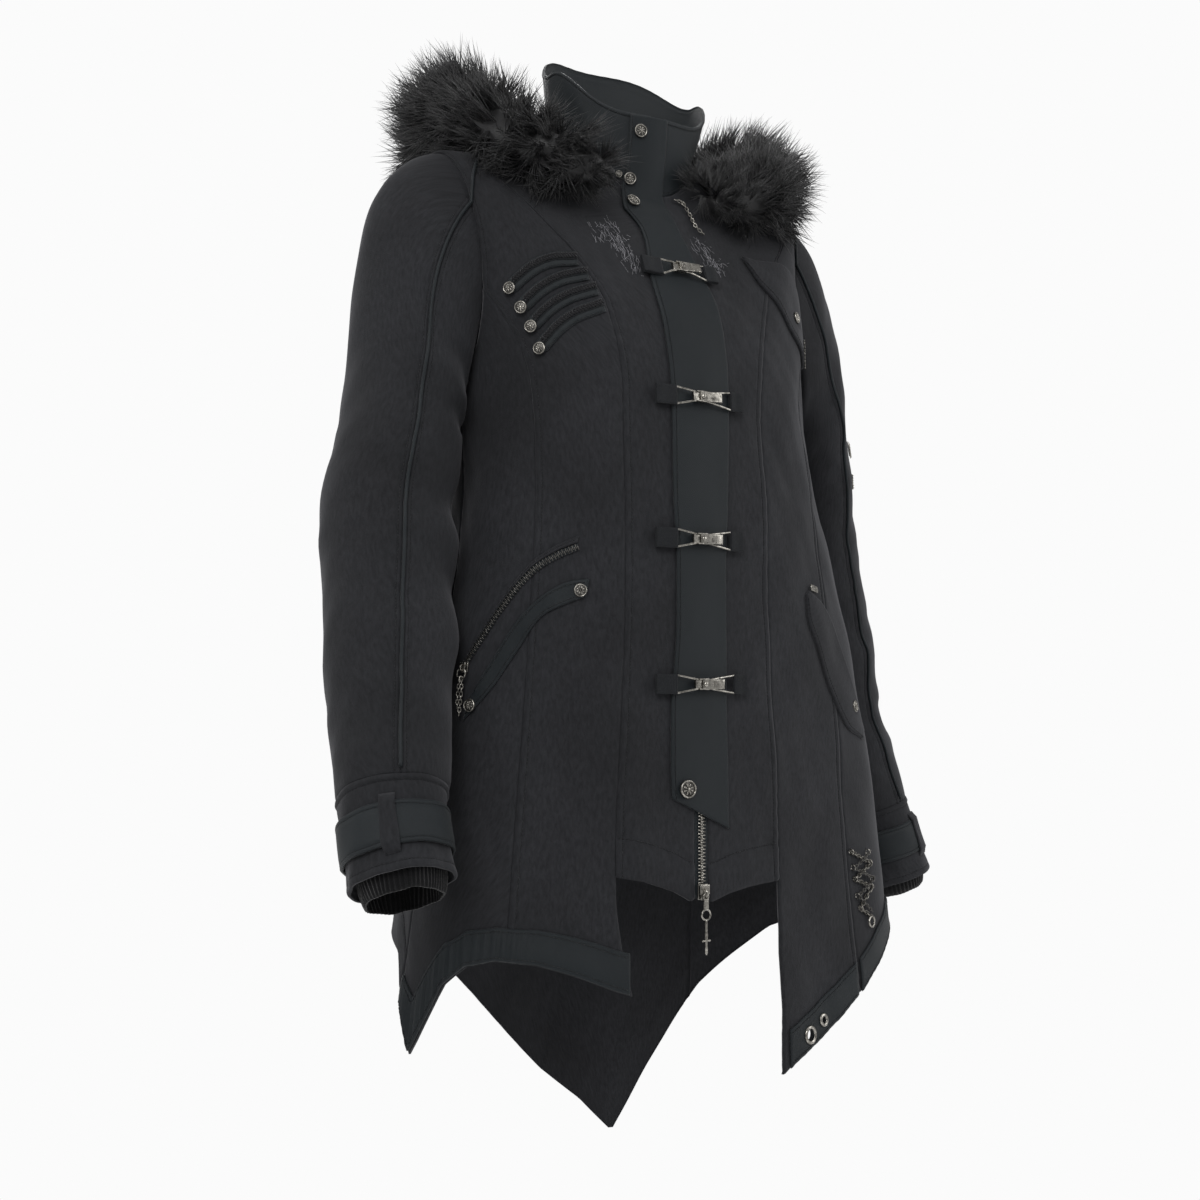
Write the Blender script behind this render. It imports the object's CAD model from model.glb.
"""A worn black hooded jacket with a fur trim, in metres: +Z up, the front faces -Y, +X is the
wearer's left, and the origin lies at shoulder height on the wearer's middle line."""

import math

import bmesh
import bpy
import numpy as np
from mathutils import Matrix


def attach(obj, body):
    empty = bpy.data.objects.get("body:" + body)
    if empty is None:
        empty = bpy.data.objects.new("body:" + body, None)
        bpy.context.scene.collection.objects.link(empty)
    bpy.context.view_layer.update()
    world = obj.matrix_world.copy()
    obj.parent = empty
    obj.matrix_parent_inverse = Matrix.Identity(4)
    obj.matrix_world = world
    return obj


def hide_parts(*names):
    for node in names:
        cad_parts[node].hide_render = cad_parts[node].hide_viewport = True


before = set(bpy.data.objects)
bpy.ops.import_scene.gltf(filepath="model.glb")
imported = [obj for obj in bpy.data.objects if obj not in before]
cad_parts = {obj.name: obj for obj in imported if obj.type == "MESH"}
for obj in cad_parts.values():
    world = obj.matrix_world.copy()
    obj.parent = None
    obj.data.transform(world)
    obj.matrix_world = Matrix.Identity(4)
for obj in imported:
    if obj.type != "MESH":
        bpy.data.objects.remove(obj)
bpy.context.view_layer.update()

# ---- camera, light and floor -------------------------------------------------------------------
# A plain studio: the camera stands to the front of the wearer's right side, a little below the
# chest, under soft lights and over a pale floor where the wearer's feet would be.
CAMERA_PLACE = (-0.6765, -1.1335, -0.477)
CAMERA_TURN, CAMERA_RISE = -30.0, 3.9  # degrees round the jacket and up
CAMERA_LENS = 1386 / 1200 * 36
FLOOR_HEIGHT = -1.44
BACKDROP = 0.965  # how bright the studio behind the jacket looks

camera = bpy.data.objects.new("camera", bpy.data.cameras.new("camera"))
camera.data.lens = CAMERA_LENS
camera.data.sensor_width = 36
camera.location = CAMERA_PLACE
camera.rotation_euler = (math.radians(90 + CAMERA_RISE), 0, math.radians(CAMERA_TURN))
bpy.context.scene.collection.objects.link(camera)
bpy.context.scene.camera = camera
bpy.context.scene.view_settings.view_transform = "Standard"

LIGHTS = [  # name, place, width, watts
    ("key", (-2.0, -2.3, 1.5), 1.7, 98),
    ("fill", (2.3, -1.9, 0.6), 2.2, 50),
    ("back", (0.9, 2.4, 1.4), 2.0, 64),
    ("side", (-2.8, 0.9, 0.6), 1.8, 27),
    ("top", (0.0, 0.0, 2.4), 2.4, 32),
]
for name, place, width, watts in LIGHTS:
    lamp = bpy.data.objects.new("light_" + name, bpy.data.lights.new("light_" + name, "AREA"))
    lamp.data.energy = watts
    lamp.data.size = width
    lamp.location = place
    aim = np.array([0.0, 0.0, -0.35]) - np.array(place)
    lamp.rotation_euler = (math.atan2(math.hypot(aim[0], aim[1]), -aim[2]), 0,
                           math.atan2(aim[1], aim[0]) - math.pi / 2)
    bpy.context.scene.collection.objects.link(lamp)

world = bpy.data.worlds.new("studio")
world.use_nodes = True
world.node_tree.nodes["Background"].inputs["Color"].default_value = (1, 1, 1, 1)
world.node_tree.nodes["Background"].inputs["Strength"].default_value = 0.47
backdrop = world.node_tree.nodes.new("ShaderNodeBackground")
backdrop.inputs["Color"].default_value = (1, 1, 1, 1)
backdrop.inputs["Strength"].default_value = BACKDROP
seen = world.node_tree.nodes.new("ShaderNodeLightPath")
either = world.node_tree.nodes.new("ShaderNodeMixShader")
world.node_tree.links.new(seen.outputs["Is Camera Ray"], either.inputs[0])
world.node_tree.links.new(world.node_tree.nodes["Background"].outputs[0], either.inputs[1])
world.node_tree.links.new(backdrop.outputs[0], either.inputs[2])
world.node_tree.links.new(either.outputs[0], world.node_tree.nodes["World Output"].inputs["Surface"])
bpy.context.scene.world = world

bpy.ops.mesh.primitive_plane_add(size=60, location=(0, 0, FLOOR_HEIGHT))
floor = bpy.context.object
floor.name = "floor"
pale = bpy.data.materials.new("pale_floor")
pale.use_nodes = True
pale.node_tree.nodes["Principled BSDF"].inputs["Base Color"].default_value = (0.86, 0.86, 0.86, 1)
pale.node_tree.nodes["Principled BSDF"].inputs["Roughness"].default_value = 0.9
glow = pale.node_tree.nodes.new("ShaderNodeEmission")
glow.inputs["Strength"].default_value = BACKDROP
seen = pale.node_tree.nodes.new("ShaderNodeLightPath")
either = pale.node_tree.nodes.new("ShaderNodeMixShader")
pale.node_tree.links.new(seen.outputs["Is Camera Ray"], either.inputs[0])
pale.node_tree.links.new(pale.node_tree.nodes["Principled BSDF"].outputs[0], either.inputs[1])
pale.node_tree.links.new(glow.outputs[0], either.inputs[2])
pale.node_tree.links.new(either.outputs[0], pale.node_tree.nodes["Material Output"].inputs["Surface"])
floor.data.materials.append(pale)

# ---- fronts, sides and back --------------------------------------------------------------------
# Nine panels of bonded cloth with a soft nap, topstitched at their seams. One set of rings gives
# the worn form; the folds and creases move the cloth in and out of them.
WALL = 0.0024
GAP = 0.0003
TRIM = 0.0020
ZIP_HALF = 0.0072
ARM_MID, ARM_HALF = -0.095, 0.095  # level of the armhole's middle, and half its height
ARM_FRONT, ARM_BACK = 16.5, 19.0  # how far the armhole reaches round, degrees
SEAM_MEET = -0.115
NECK = 0.12
COLLAR_TOP = 0.20
STITCH_IN = 0.0052  # from a seam to its topstitching
STITCH_STEP = 0.0031

RING_COLUMNS = ("level", "front_z", "side_z", "back_z", "middle_x", "half_right", "half_left",
                "front", "back", "square", "rise")
RINGS = [
    (-0.96, -0.960, -0.960, -0.960, 0.004, 0.256, 0.330, 0.140, 0.168, 2.1, 2.2),
    (-0.80, -0.800, -0.800, -0.800, 0.004, 0.240, 0.312, 0.134, 0.164, 2.1, 2.2),
    (-0.67, -0.670, -0.670, -0.670, 0.004, 0.222, 0.290, 0.131, 0.154, 2.1, 2.2),
    (-0.52, -0.520, -0.520, -0.520, 0.005, 0.202, 0.262, 0.130, 0.140, 2.2, 2.2),
    (-0.42, -0.420, -0.420, -0.420, 0.006, 0.188, 0.238, 0.131, 0.126, 2.2, 2.2),
    (-0.34, -0.340, -0.340, -0.340, 0.006, 0.175, 0.209, 0.132, 0.114, 2.3, 2.2),
    (-0.27, -0.270, -0.270, -0.270, 0.005, 0.171, 0.193, 0.130, 0.108, 2.4, 2.2),
    (-0.19, -0.200, -0.190, -0.190, 0.004, 0.174, 0.184, 0.126, 0.108, 2.5, 2.2),
    (-0.10, -0.150, -0.100, -0.125, 0.002, 0.183, 0.184, 0.118, 0.108, 2.4, 2.2),
    (0.00, -0.100, 0.008, -0.060, 0.000, 0.197, 0.190, 0.100, 0.100, 2.2, 2.2),
    (0.04, -0.070, 0.017, -0.015, 0.000, 0.154, 0.150, 0.088, 0.088, 2.1, 2.2),
    (0.08, -0.040, 0.034, 0.030, 0.000, 0.110, 0.110, 0.075, 0.078, 2.0, 2.2),
    (0.12, -0.012, 0.058, 0.068, 0.000, 0.072, 0.072, 0.062, 0.066, 2.0, 2.2),
    (0.16, 0.024, 0.086, 0.112, 0.000, 0.074, 0.080, 0.067, 0.070, 2.0, 3.0),
    (0.20, 0.060, 0.113, 0.159, 0.000, 0.076, 0.089, 0.070, 0.074, 2.0, 4.0),
]
FOLDS = [  # soft folds: angle, level, half width in degrees, half length, how far out
    (-26, -0.62, 9, 0.22, 0.0035), (-50, -0.66, 10, 0.26, -0.0040), (-72, -0.64, 9, 0.30, 0.0050),
    (-96, -0.62, 11, 0.26, -0.0060), (-122, -0.70, 12, 0.32, 0.0060), (-150, -0.66, 12, 0.30, -0.0055),
    (178, -0.70, 12, 0.34, 0.0060), (150, -0.68, 12, 0.30, -0.0060), (122, -0.66, 12, 0.32, 0.0060),
    (97, -0.64, 11, 0.30, -0.0055), (74, -0.60, 9, 0.26, 0.0050), (50, -0.70, 9, 0.22, -0.0035),
    (-64, -0.20, 10, 0.060, -0.0045), (64, -0.20, 10, 0.060, -0.0045), (-78, -0.33, 14, 0.035, 0.0030),
    (78, -0.35, 14, 0.035, 0.0030), (148, -0.27, 20, 0.030, 0.0035), (-146, -0.31, 20, 0.028, 0.0035),
    (176, -0.36, 22, 0.026, -0.0030),
]
CREASES = [  # finer ones: angle, level, half length, half width, slope in degrees, how far out
    (-40, -0.215, 0.040, 0.008, 62, -0.0012), (-47, -0.245, 0.045, 0.009, 48, 0.0011),
    (-27, -0.300, 0.055, 0.010, 82, 0.0009), (-24, -0.410, 0.060, 0.010, 95, -0.0009),
    (-36, -0.455, 0.070, 0.012, 78, 0.0010), (-58, -0.300, 0.040, 0.008, 30, -0.0011),
    (-66, -0.275, 0.035, 0.007, 20, 0.0010), (-50, -0.540, 0.080, 0.012, 84, -0.0012),
    (-62, -0.590, 0.070, 0.011, 98, 0.0011), (-20, -0.560, 0.050, 0.009, 70, -0.0008),
    (22, -0.300, 0.060, 0.010, 100, -0.0009), (27, -0.180, 0.040, 0.009, 120, 0.0010),
    (36, -0.250, 0.045, 0.008, 130, -0.0011), (42, -0.300, 0.040, 0.008, 150, 0.0011),
    (24, -0.500, 0.060, 0.011, 88, 0.0009), (40, -0.560, 0.080, 0.012, 100, -0.0012),
    (55, -0.620, 0.070, 0.011, 80, 0.0012), (60, -0.300, 0.035, 0.007, 160, -0.0010),
    (-30, 0.010, 0.040, 0.009, 40, 0.0009), (33, 0.000, 0.040, 0.009, 140, -0.0009),
    (-48, -0.050, 0.040, 0.008, 70, -0.0010), (-60, -0.090, 0.035, 0.008, 80, 0.0010),
    (160, -0.200, 0.050, 0.010, 60, 0.0014), (-160, -0.230, 0.055, 0.010, 118, -0.0014),
    (135, -0.330, 0.040, 0.009, 25, -0.0013), (-132, -0.345, 0.045, 0.009, 155, 0.0013),
    (178, -0.420, 0.060, 0.010, 92, 0.0012), (145, -0.520, 0.080, 0.013, 84, -0.0014),
    (-145, -0.560, 0.080, 0.013, 98, 0.0014), (150, -0.080, 0.045, 0.010, 45, 0.0012),
    (-152, -0.090, 0.045, 0.010, 135, -0.0012), (105, -0.420, 0.045, 0.010, 100, 0.0012),
    (-104, -0.440, 0.045, 0.010, 84, -0.0012), (170, 0.020, 0.040, 0.009, 80, -0.0009),
]
PRINCESS = [  # level, angle of the seam on the right and on the left
    (-0.85, 27.5, 34.0), (-0.73, 28.5, 35.0), (-0.66, 33.6, 35.0), (-0.62, 33.7, 34.9),
    (-0.57, 33.6, 34.6), (-0.48, 32.0, 32.5), (-0.36, 31.0, 30.5), (-0.22, 31.0, 31.0),
    (-0.148, 33.0, 35.0), (-0.088, 37.0, 42.0), (-0.060, 41.0, 46.0), (-0.030, 48.0, 52.0),
    (-0.010, 56.0, 58.5), (0.008, 66.0, 67.0), (0.020, 77.0, 77.0), (0.030, 90.0, 90.0),
]
SIDE_FRONT = [  # level and angle of the second seam, and below of the one on the back
    (-0.85, 63.0), (-0.67, 61.5), (-0.52, 60.0), (-0.43, 59.5), (-0.30, 58.5),
    (-0.22, 59.5), (-0.18, 62.0), (-0.145, 67.0), (-0.115, 73.9),
]
SIDE_BACK = [
    (-0.85, 131.0), (-0.67, 128.5), (-0.52, 126.0), (-0.40, 124.5), (-0.30, 123.5),
    (-0.22, 121.0), (-0.18, 117.5), (-0.145, 112.5), (-0.115, 108.4),
]
HEM_CENTRE = [(-36, -0.629), (-24, -0.635), (-12, -0.645), (-5, -0.654), (-2.5, -0.652),
              (2.5, -0.655), (5, -0.656), (13, -0.650), (22, -0.646), (36, -0.643)]
HEM_AROUND = [  # angle and height of the hem outside the slits
    (-206, -0.936), (-195, -0.900), (-180, -0.864), (-165, -0.820), (-150, -0.775), (-135, -0.732),
    (-120, -0.704), (-104, -0.692), (-94, -0.700), (-87, -0.735), (-81.5, -0.776), (-78, -0.748),
    (-74.5, -0.718), (-70, -0.702), (-64, -0.697), (-55, -0.701), (-45, -0.711), (-34, -0.724),
    (-27, -0.730), (33, -0.816), (40, -0.804), (47, -0.793), (55, -0.777), (63, -0.756),
    (69, -0.734), (75, -0.714), (84, -0.702), (98, -0.700), (112, -0.728), (128, -0.790),
    (143, -0.873), (154, -0.936), (165, -0.900), (180, -0.864), (195, -0.820), (210, -0.775),
    (225, -0.732), (240, -0.704), (256, -0.692),
]
LEVELS = [-0.56, -0.49, -0.425, -0.365, -0.31, -0.26, -0.21, -0.17, -0.138, SEAM_MEET]
SIDE_LEVELS = [-0.56, -0.49, -0.43, -0.38, -0.335, -0.295, -0.26, -0.232, -0.21, -0.19]
UPPER_LEVELS = [-0.088, -0.060, -0.036, -0.014, 0.004, 0.016, 0.025, 0.030]
CENTRE_LEVELS = [-0.088, -0.060, -0.036, -0.014, 0.004, 0.020, 0.034, 0.048, 0.072, 0.096, NECK]
HEM_ROWS = 4
ROW_STEPS = 6  # fine rows to each row of the tables
EDGE_COLUMNS = [0, 0.0007, 0.0015, 0.0028, 0.0042, 0.0052, 0.0062, 0.0078, 0.0105, 0.0150]
MIDDLE_STEP = 0.0075


def smooth_value(x, xs, ys):
    """A cubic through the rows of a table that never overshoots them."""
    x, xs, ys = np.asarray(x, float), np.asarray(xs, float), np.asarray(ys, float)
    step = np.diff(xs)
    slope = np.diff(ys) / step
    product = slope[:-1] * slope[1:]
    inner = np.where(product > 0, 2 * product / np.where(product > 0, slope[:-1] + slope[1:], 1), 0)
    tangent = np.concatenate([[slope[0]], inner, [slope[-1]]])
    i = np.clip(np.searchsorted(xs, x) - 1, 0, len(xs) - 2)
    s = np.clip((x - xs[i]) / step[i], 0, 1)
    return ((2 * s**3 - 3 * s**2 + 1) * ys[i] + (s**3 - 2 * s**2 + s) * step[i] * tangent[i]
            + (3 * s**2 - 2 * s**3) * ys[i + 1] + (s**3 - s**2) * step[i] * tangent[i + 1])


def read(table, names, at, name):
    values = np.array(table, float)
    return smooth_value(at, values[:, 0], values[:, names.index(name)])


def unit(vectors):
    return vectors / np.maximum(np.linalg.norm(vectors, axis=-1, keepdims=True), 1e-12)


def cloth_relief(angle, level):
    """How far folds, creases and the soft unevenness of worn cloth move it out."""
    out = np.zeros(np.broadcast(angle, level).shape)
    for middle, height, degrees, length, far in FOLDS:
        turn = (angle - middle + 180) % 360 - 180
        out = out + far * np.exp(-(turn / degrees) ** 2 - ((level - height) / length) ** 2)
    for middle, height, length, width, slope, far in CREASES:
        across = ((angle - middle + 180) % 360 - 180) * 0.0032
        upward = level - height
        cosine, sine = math.cos(math.radians(slope)), math.sin(math.radians(slope))
        along, aside = across * cosine + upward * sine, upward * cosine - across * sine
        out = out + far * np.exp(-(along / length) ** 2 - (aside / width) ** 2)
    turn = np.radians(angle)
    out = out + (0.0006 * np.sin(11 * turn + 33 * level) + 0.0005 * np.sin(17 * turn - 51 * level + 2)
                 + 0.00025 * np.sin(41 * turn + 92 * level + 1)) * np.clip((0.1 - level) / 0.1, 0, 1)
    return out * np.clip((np.abs((angle + 180) % 360 - 180) - 14) / 14, 0, 1)


def ring_point(angle, level):
    turn = np.radians(angle)
    sine, cosine = np.sin(turn), np.cos(turn)
    ring = {name: read(RINGS, RING_COLUMNS, level, name) for name in RING_COLUMNS[1:]}
    half = np.where(sine > 0, ring["half_left"], ring["half_right"])
    deep = np.where(cosine > 0, ring["front"], ring["back"])
    power = ring["square"]
    radius = ((np.abs(sine) / half) ** power + (np.abs(cosine) / deep) ** power) ** (-1 / power)
    side = np.abs(radius * sine / half) ** ring["rise"]
    height = np.where(cosine > 0, ring["front_z"], ring["back_z"])
    z = height * (1 - side) + ring["side_z"] * side
    return np.stack([ring["middle_x"] + radius * sine, -radius * cosine, z], -1)


def outward(point, angle, level, turn=0.6, rise=0.002):
    around = point(angle + turn, level) - point(angle - turn, level)
    upward = point(angle, level + rise) - point(angle, level - rise)
    return unit(np.cross(around, upward))


def cloth_point(angle, level):
    return ring_point(angle, level) + outward(ring_point, angle, level) * cloth_relief(angle, level)[..., None]


def cloth(angle, level, lift=0.0):
    """Points of the outside of body and collar, moved out by lift."""
    angle, level = np.broadcast_arrays(np.asarray(angle, float), np.asarray(level, float))
    lift = np.asarray(lift, float)
    return cloth_point(angle, level) + outward(cloth_point, angle, level) * lift[..., None]


def armhole(turn):
    """Angle and level of the armhole's edge: turn 0 is the armpit, 90 the front, 180 the top."""
    turn = np.radians(np.asarray(turn, float))
    sine = np.sin(turn)
    reach = np.where(sine > 0, ARM_FRONT, ARM_BACK)
    return np.stack([90 - reach * np.sign(sine) * np.abs(sine) ** 0.85,
                     ARM_MID - ARM_HALF * np.cos(turn)], -1)


def add_mesh(name, points, faces, finish, body="jacket", nodes=(), uv=None):
    """A finished piece that rides on a body and stands for the named solids."""
    data = bpy.data.meshes.new(name)
    data.from_pydata(np.asarray(points, float).tolist(), [], [list(f) for f in faces])
    data.update()
    data.polygons.foreach_set("use_smooth", np.ones(len(data.polygons), bool))
    if uv is not None:
        layer = data.uv_layers.new(name="cloth")
        corner = np.empty(len(data.loops), np.int32)
        data.loops.foreach_get("vertex_index", corner)
        layer.data.foreach_set("uv", np.asarray(uv, np.float32)[corner].ravel())
    data.materials.append(finish)
    made = bpy.data.objects.new(name, data)
    bpy.context.scene.collection.objects.link(made)
    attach(made, body)
    if nodes:
        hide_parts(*nodes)
    return made


def run_length(grid, axis):
    """Distance along each line of a grid of points."""
    step = np.linalg.norm(np.diff(grid, axis=axis), axis=-1)
    zero = np.zeros_like(np.take(step, [0], axis=axis))
    return np.concatenate([zero, np.cumsum(step, axis=axis)], axis=axis)


def add_sheet(name, outer, inner, finish, slot, nodes=(), ring=False, held="draped", rests_on=()):
    """A closed thin wall, declared with the cut that its outside shows where it is cloth."""
    rows, cols = outer.shape[:2]
    i, j = np.meshgrid(np.arange(rows - 1), np.arange(cols if ring else cols - 1), indexing="ij")
    a, b = i * cols + j, i * cols + (j + 1) % cols
    front = np.stack([a, b, b + cols, a + cols], -1).reshape(-1, 4)
    count = rows * cols
    faces = [front, front[:, ::-1] + count]
    low = np.arange(cols if ring else cols - 1)
    ahead = (low + 1) % cols
    faces.append(np.stack([low, low + count, ahead + count, ahead], -1))
    top = (rows - 1) * cols
    faces.append(np.stack([low + top, ahead + top, ahead + top + count, low + top + count], -1))
    if not ring:
        side = np.arange(rows - 1) * cols
        faces.append(np.stack([side, side + cols, side + cols + count, side + count], -1))
        side = side + cols - 1
        faces.append(np.stack([side, side + count, side + cols + count, side + cols], -1))
    across, upward = run_length(outer, 1), run_length(outer, 0)
    uv = np.stack([across, upward], -1).reshape(-1, 2)
    points = np.concatenate([outer.reshape(-1, 3), inner.reshape(-1, 3)])
    made = add_mesh(name, points, np.concatenate(faces), finish, "jacket", nodes,
                    np.concatenate([uv, uv]))
    if held is None:
        return made
    closed = np.concatenate([outer, outer[:, :1]], 1) if ring else outer
    first = closed[1:, :-1] - closed[:-1, :-1]
    second = closed[:-1, 1:] - closed[:-1, :-1]
    third = closed[1:, :-1] - closed[1:, 1:]
    fourth = closed[:-1, 1:] - closed[1:, 1:]
    area = 0.5 * (np.linalg.norm(np.cross(first, second), axis=-1)
                  + np.linalg.norm(np.cross(third, fourth), axis=-1)).sum()
    width, length = run_length(closed, 1)[:, -1].max(), run_length(closed, 0)[-1].max()
    width, length = max(width, 0.0105), max(length, 0.0105)
    if not 0.31 < area / (width * length) < 1:
        width = area / (0.9 * length)
    return made


def new_finish(name, roughness, metallic=0.0, sheen=0.0, sheen_roughness=0.4):
    """An empty finish and its nodes, to be wired up by the caller."""
    made = bpy.data.materials.new(name)
    made.use_nodes = True
    tree = made.node_tree
    shader = tree.nodes["Principled BSDF"]
    shader.inputs["Roughness"].default_value = roughness
    shader.inputs["Metallic"].default_value = metallic
    shader.inputs["Sheen Weight"].default_value = sheen
    shader.inputs["Sheen Roughness"].default_value = sheen_roughness
    shader.inputs["Specular IOR Level"].default_value = 0.5 if metallic else 0.12
    return made, tree, shader


def wire(tree, kind, values=None, **links):
    """Adds a node, sets its values by input name or number, and links other nodes' outputs to it."""
    node = tree.nodes.new(kind)
    for key, value in (values or {}).items():
        if isinstance(key, str) and hasattr(node, key):
            setattr(node, key, value)
        else:
            node.inputs[key].default_value = value
    for key, source in links.items():
        tree.links.new(source, node.inputs[int(key[1:]) if key[1:].isdigit() else key])
    return node


def mixed(tree, low, high, share):
    """Two colours mixed by a value from 0 to 1."""
    node = tree.nodes.new("ShaderNodeMix")
    node.data_type = "RGBA"
    node.inputs[6].default_value = (*low, 1)
    node.inputs[7].default_value = (*high, 1)
    tree.links.new(share, node.inputs[0])
    return node.outputs[2]


def bumped(tree, shader, layers):
    """Bump maps one after the other, as (height, distance, strength)."""
    normal = None
    for height, distance, strength in layers:
        node = wire(tree, "ShaderNodeBump", {"Distance": distance, "Strength": strength}, Height=height)
        if normal is not None:
            tree.links.new(normal, node.inputs["Normal"])
        normal = node.outputs["Normal"]
    tree.links.new(normal, shader.inputs["Normal"])


def napped_cloth():
    """Soft napped face: brushed patches over a fine crossed weave."""
    made, tree, shader = new_finish("napped_cloth", 0.90, 0, 0.11, 0.40)
    shader.inputs["Sheen Tint"].default_value = (0.60, 0.60, 0.64, 1)
    shader.inputs["Specular IOR Level"].default_value = 0.22
    place = wire(tree, "ShaderNodeTexCoord").outputs
    weave_place = wire(tree, "ShaderNodeMapping", {"Rotation": (0, 0, math.radians(38))}, Vector=place["UV"])
    brush_place = wire(tree, "ShaderNodeMapping", {"Scale": (1.0, 0.38, 1.0), "Rotation": (0, 0, 0.5)},
                       Vector=place["UV"])
    weave = wire(tree, "ShaderNodeTexVoronoi", {"Scale": 620.0, "Randomness": 0.75},
                 Vector=weave_place.outputs[0])
    fuzz = wire(tree, "ShaderNodeTexNoise", {"Scale": 1500.0, "Detail": 2.0}, Vector=place["UV"])
    brushed = wire(tree, "ShaderNodeTexNoise", {"Scale": 330.0, "Detail": 6.0, "Roughness": 0.60,
                                                "Distortion": 0.4}, Vector=brush_place.outputs[0])
    patches = wire(tree, "ShaderNodeTexNoise", {"Scale": 9.0, "Detail": 3.0}, Vector=place["Object"])
    soft = wire(tree, "ShaderNodeMapRange", {1: 0.30, 2: 0.72}, _0=brushed.outputs[0])
    tone = mixed(tree, (0.0046, 0.0049, 0.0060), (0.0118, 0.0122, 0.0142), soft.outputs[0])
    wide = wire(tree, "ShaderNodeMapRange", {1: 0.3, 2: 0.7, 3: 0.74, 4: 1.26}, _0=patches.outputs[0])
    color = wire(tree, "ShaderNodeVectorMath", {"operation": "SCALE"}, _0=tone)
    tree.links.new(wide.outputs[0], color.inputs["Scale"])
    tree.links.new(color.outputs[0], shader.inputs["Base Color"])
    bumped(tree, shader, [(weave.outputs[0], 0.0004, 0.30), (brushed.outputs[0], 0.0005, 0.30),
                          (fuzz.outputs[0], 0.0002, 0.30)])
    return made


def thread(name, color, roughness=0.55):
    made, tree, shader = new_finish(name, roughness, 0, 0.05)
    place = wire(tree, "ShaderNodeTexCoord").outputs
    twist = wire(tree, "ShaderNodeTexNoise", {"Scale": 900.0, "Detail": 2.0}, Vector=place["Object"])
    tree.links.new(mixed(tree, tuple(0.6 * c for c in color), tuple(1.4 * c for c in color), twist.outputs[0]),
                   shader.inputs["Base Color"])
    bumped(tree, shader, [(twist.outputs[0], 0.0003, 0.5)])
    return made


NAPPED = napped_cloth()
SEWING = thread("sewing_thread", (0.0026, 0.0028, 0.0034))


def row_tree():
    """Sets copies of one shape on points that carry the directions ahead and out."""
    tree = bpy.data.node_groups.new("shapes_in_a_row", "GeometryNodeTree")
    face = tree.interface
    face.new_socket("Geometry", in_out="INPUT", socket_type="NodeSocketGeometry")
    face.new_socket("Shape", in_out="INPUT", socket_type="NodeSocketObject")
    face.new_socket("Size", in_out="INPUT", socket_type="NodeSocketFloat")
    face.new_socket("Waver", in_out="INPUT", socket_type="NodeSocketFloat")
    face.new_socket("Finish", in_out="INPUT", socket_type="NodeSocketMaterial")
    face.new_socket("Geometry", in_out="OUTPUT", socket_type="NodeSocketGeometry")
    given, result = tree.nodes.new("NodeGroupInput"), tree.nodes.new("NodeGroupOutput")
    shape = tree.nodes.new("GeometryNodeObjectInfo")
    tree.links.new(given.outputs["Shape"], shape.inputs["Object"])
    turn = None
    for axis, pivot, label in (("X", "AUTO", "ahead"), ("Z", "X", "out")):
        named = tree.nodes.new("GeometryNodeInputNamedAttribute")
        named.data_type = "FLOAT_VECTOR"
        named.inputs["Name"].default_value = label
        align = tree.nodes.new("FunctionNodeAlignRotationToVector")
        align.axis = axis
        align.pivot_axis = pivot
        tree.links.new(named.outputs["Attribute"], align.inputs["Vector"])
        if turn is not None:
            tree.links.new(turn, align.inputs["Rotation"])
        turn = align.outputs["Rotation"]
    waver = wire(tree, "FunctionNodeRandomValue")
    waver.data_type = "FLOAT"
    waver.inputs["Seed"].default_value = 7
    for sign, slot in ((-1, 2), (1, 3)):
        edge = wire(tree, "ShaderNodeMath", {"operation": "MULTIPLY_ADD", 1: sign, 2: 1.0})
        tree.links.new(given.outputs["Waver"], edge.inputs[0])
        tree.links.new(edge.outputs[0], waver.inputs[slot])
    size = wire(tree, "ShaderNodeMath", {"operation": "MULTIPLY"}, _0=waver.outputs[1], _1=given.outputs["Size"])
    put = tree.nodes.new("GeometryNodeInstanceOnPoints")
    tree.links.new(given.outputs["Geometry"], put.inputs["Points"])
    tree.links.new(shape.outputs["Geometry"], put.inputs["Instance"])
    tree.links.new(turn, put.inputs["Rotation"])
    tree.links.new(size.outputs[0], put.inputs["Scale"])
    real = tree.nodes.new("GeometryNodeRealizeInstances")
    tree.links.new(put.outputs["Instances"], real.inputs["Geometry"])
    paint = tree.nodes.new("GeometryNodeSetMaterial")
    tree.links.new(real.outputs["Geometry"], paint.inputs["Geometry"])
    tree.links.new(given.outputs["Finish"], paint.inputs["Material"])
    tree.links.new(paint.outputs["Geometry"], result.inputs["Geometry"])
    return tree


ROW = row_tree()


def baked(name, carrier, tree, inputs, body, nodes=()):
    """Runs a tree on a carrier object and keeps the result as a plain mesh."""
    step = carrier.modifiers.new("tree", "NODES")
    step.node_group = tree
    for item in tree.interface.items_tree:
        if item.item_type == "SOCKET" and item.in_out == "INPUT" and item.name in inputs:
            step[item.identifier] = inputs[item.name]
    bpy.context.view_layer.update()
    data = bpy.data.meshes.new_from_object(carrier.evaluated_get(bpy.context.evaluated_depsgraph_get()))
    carrier.modifiers.remove(step)
    data.name = name
    data.polygons.foreach_set("use_smooth", np.ones(len(data.polygons), bool))
    bpy.data.objects.remove(carrier)
    made = bpy.data.objects.new(name, data)
    bpy.context.scene.collection.objects.link(made)
    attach(made, body)
    if nodes:
        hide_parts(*nodes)
    return made


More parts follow.
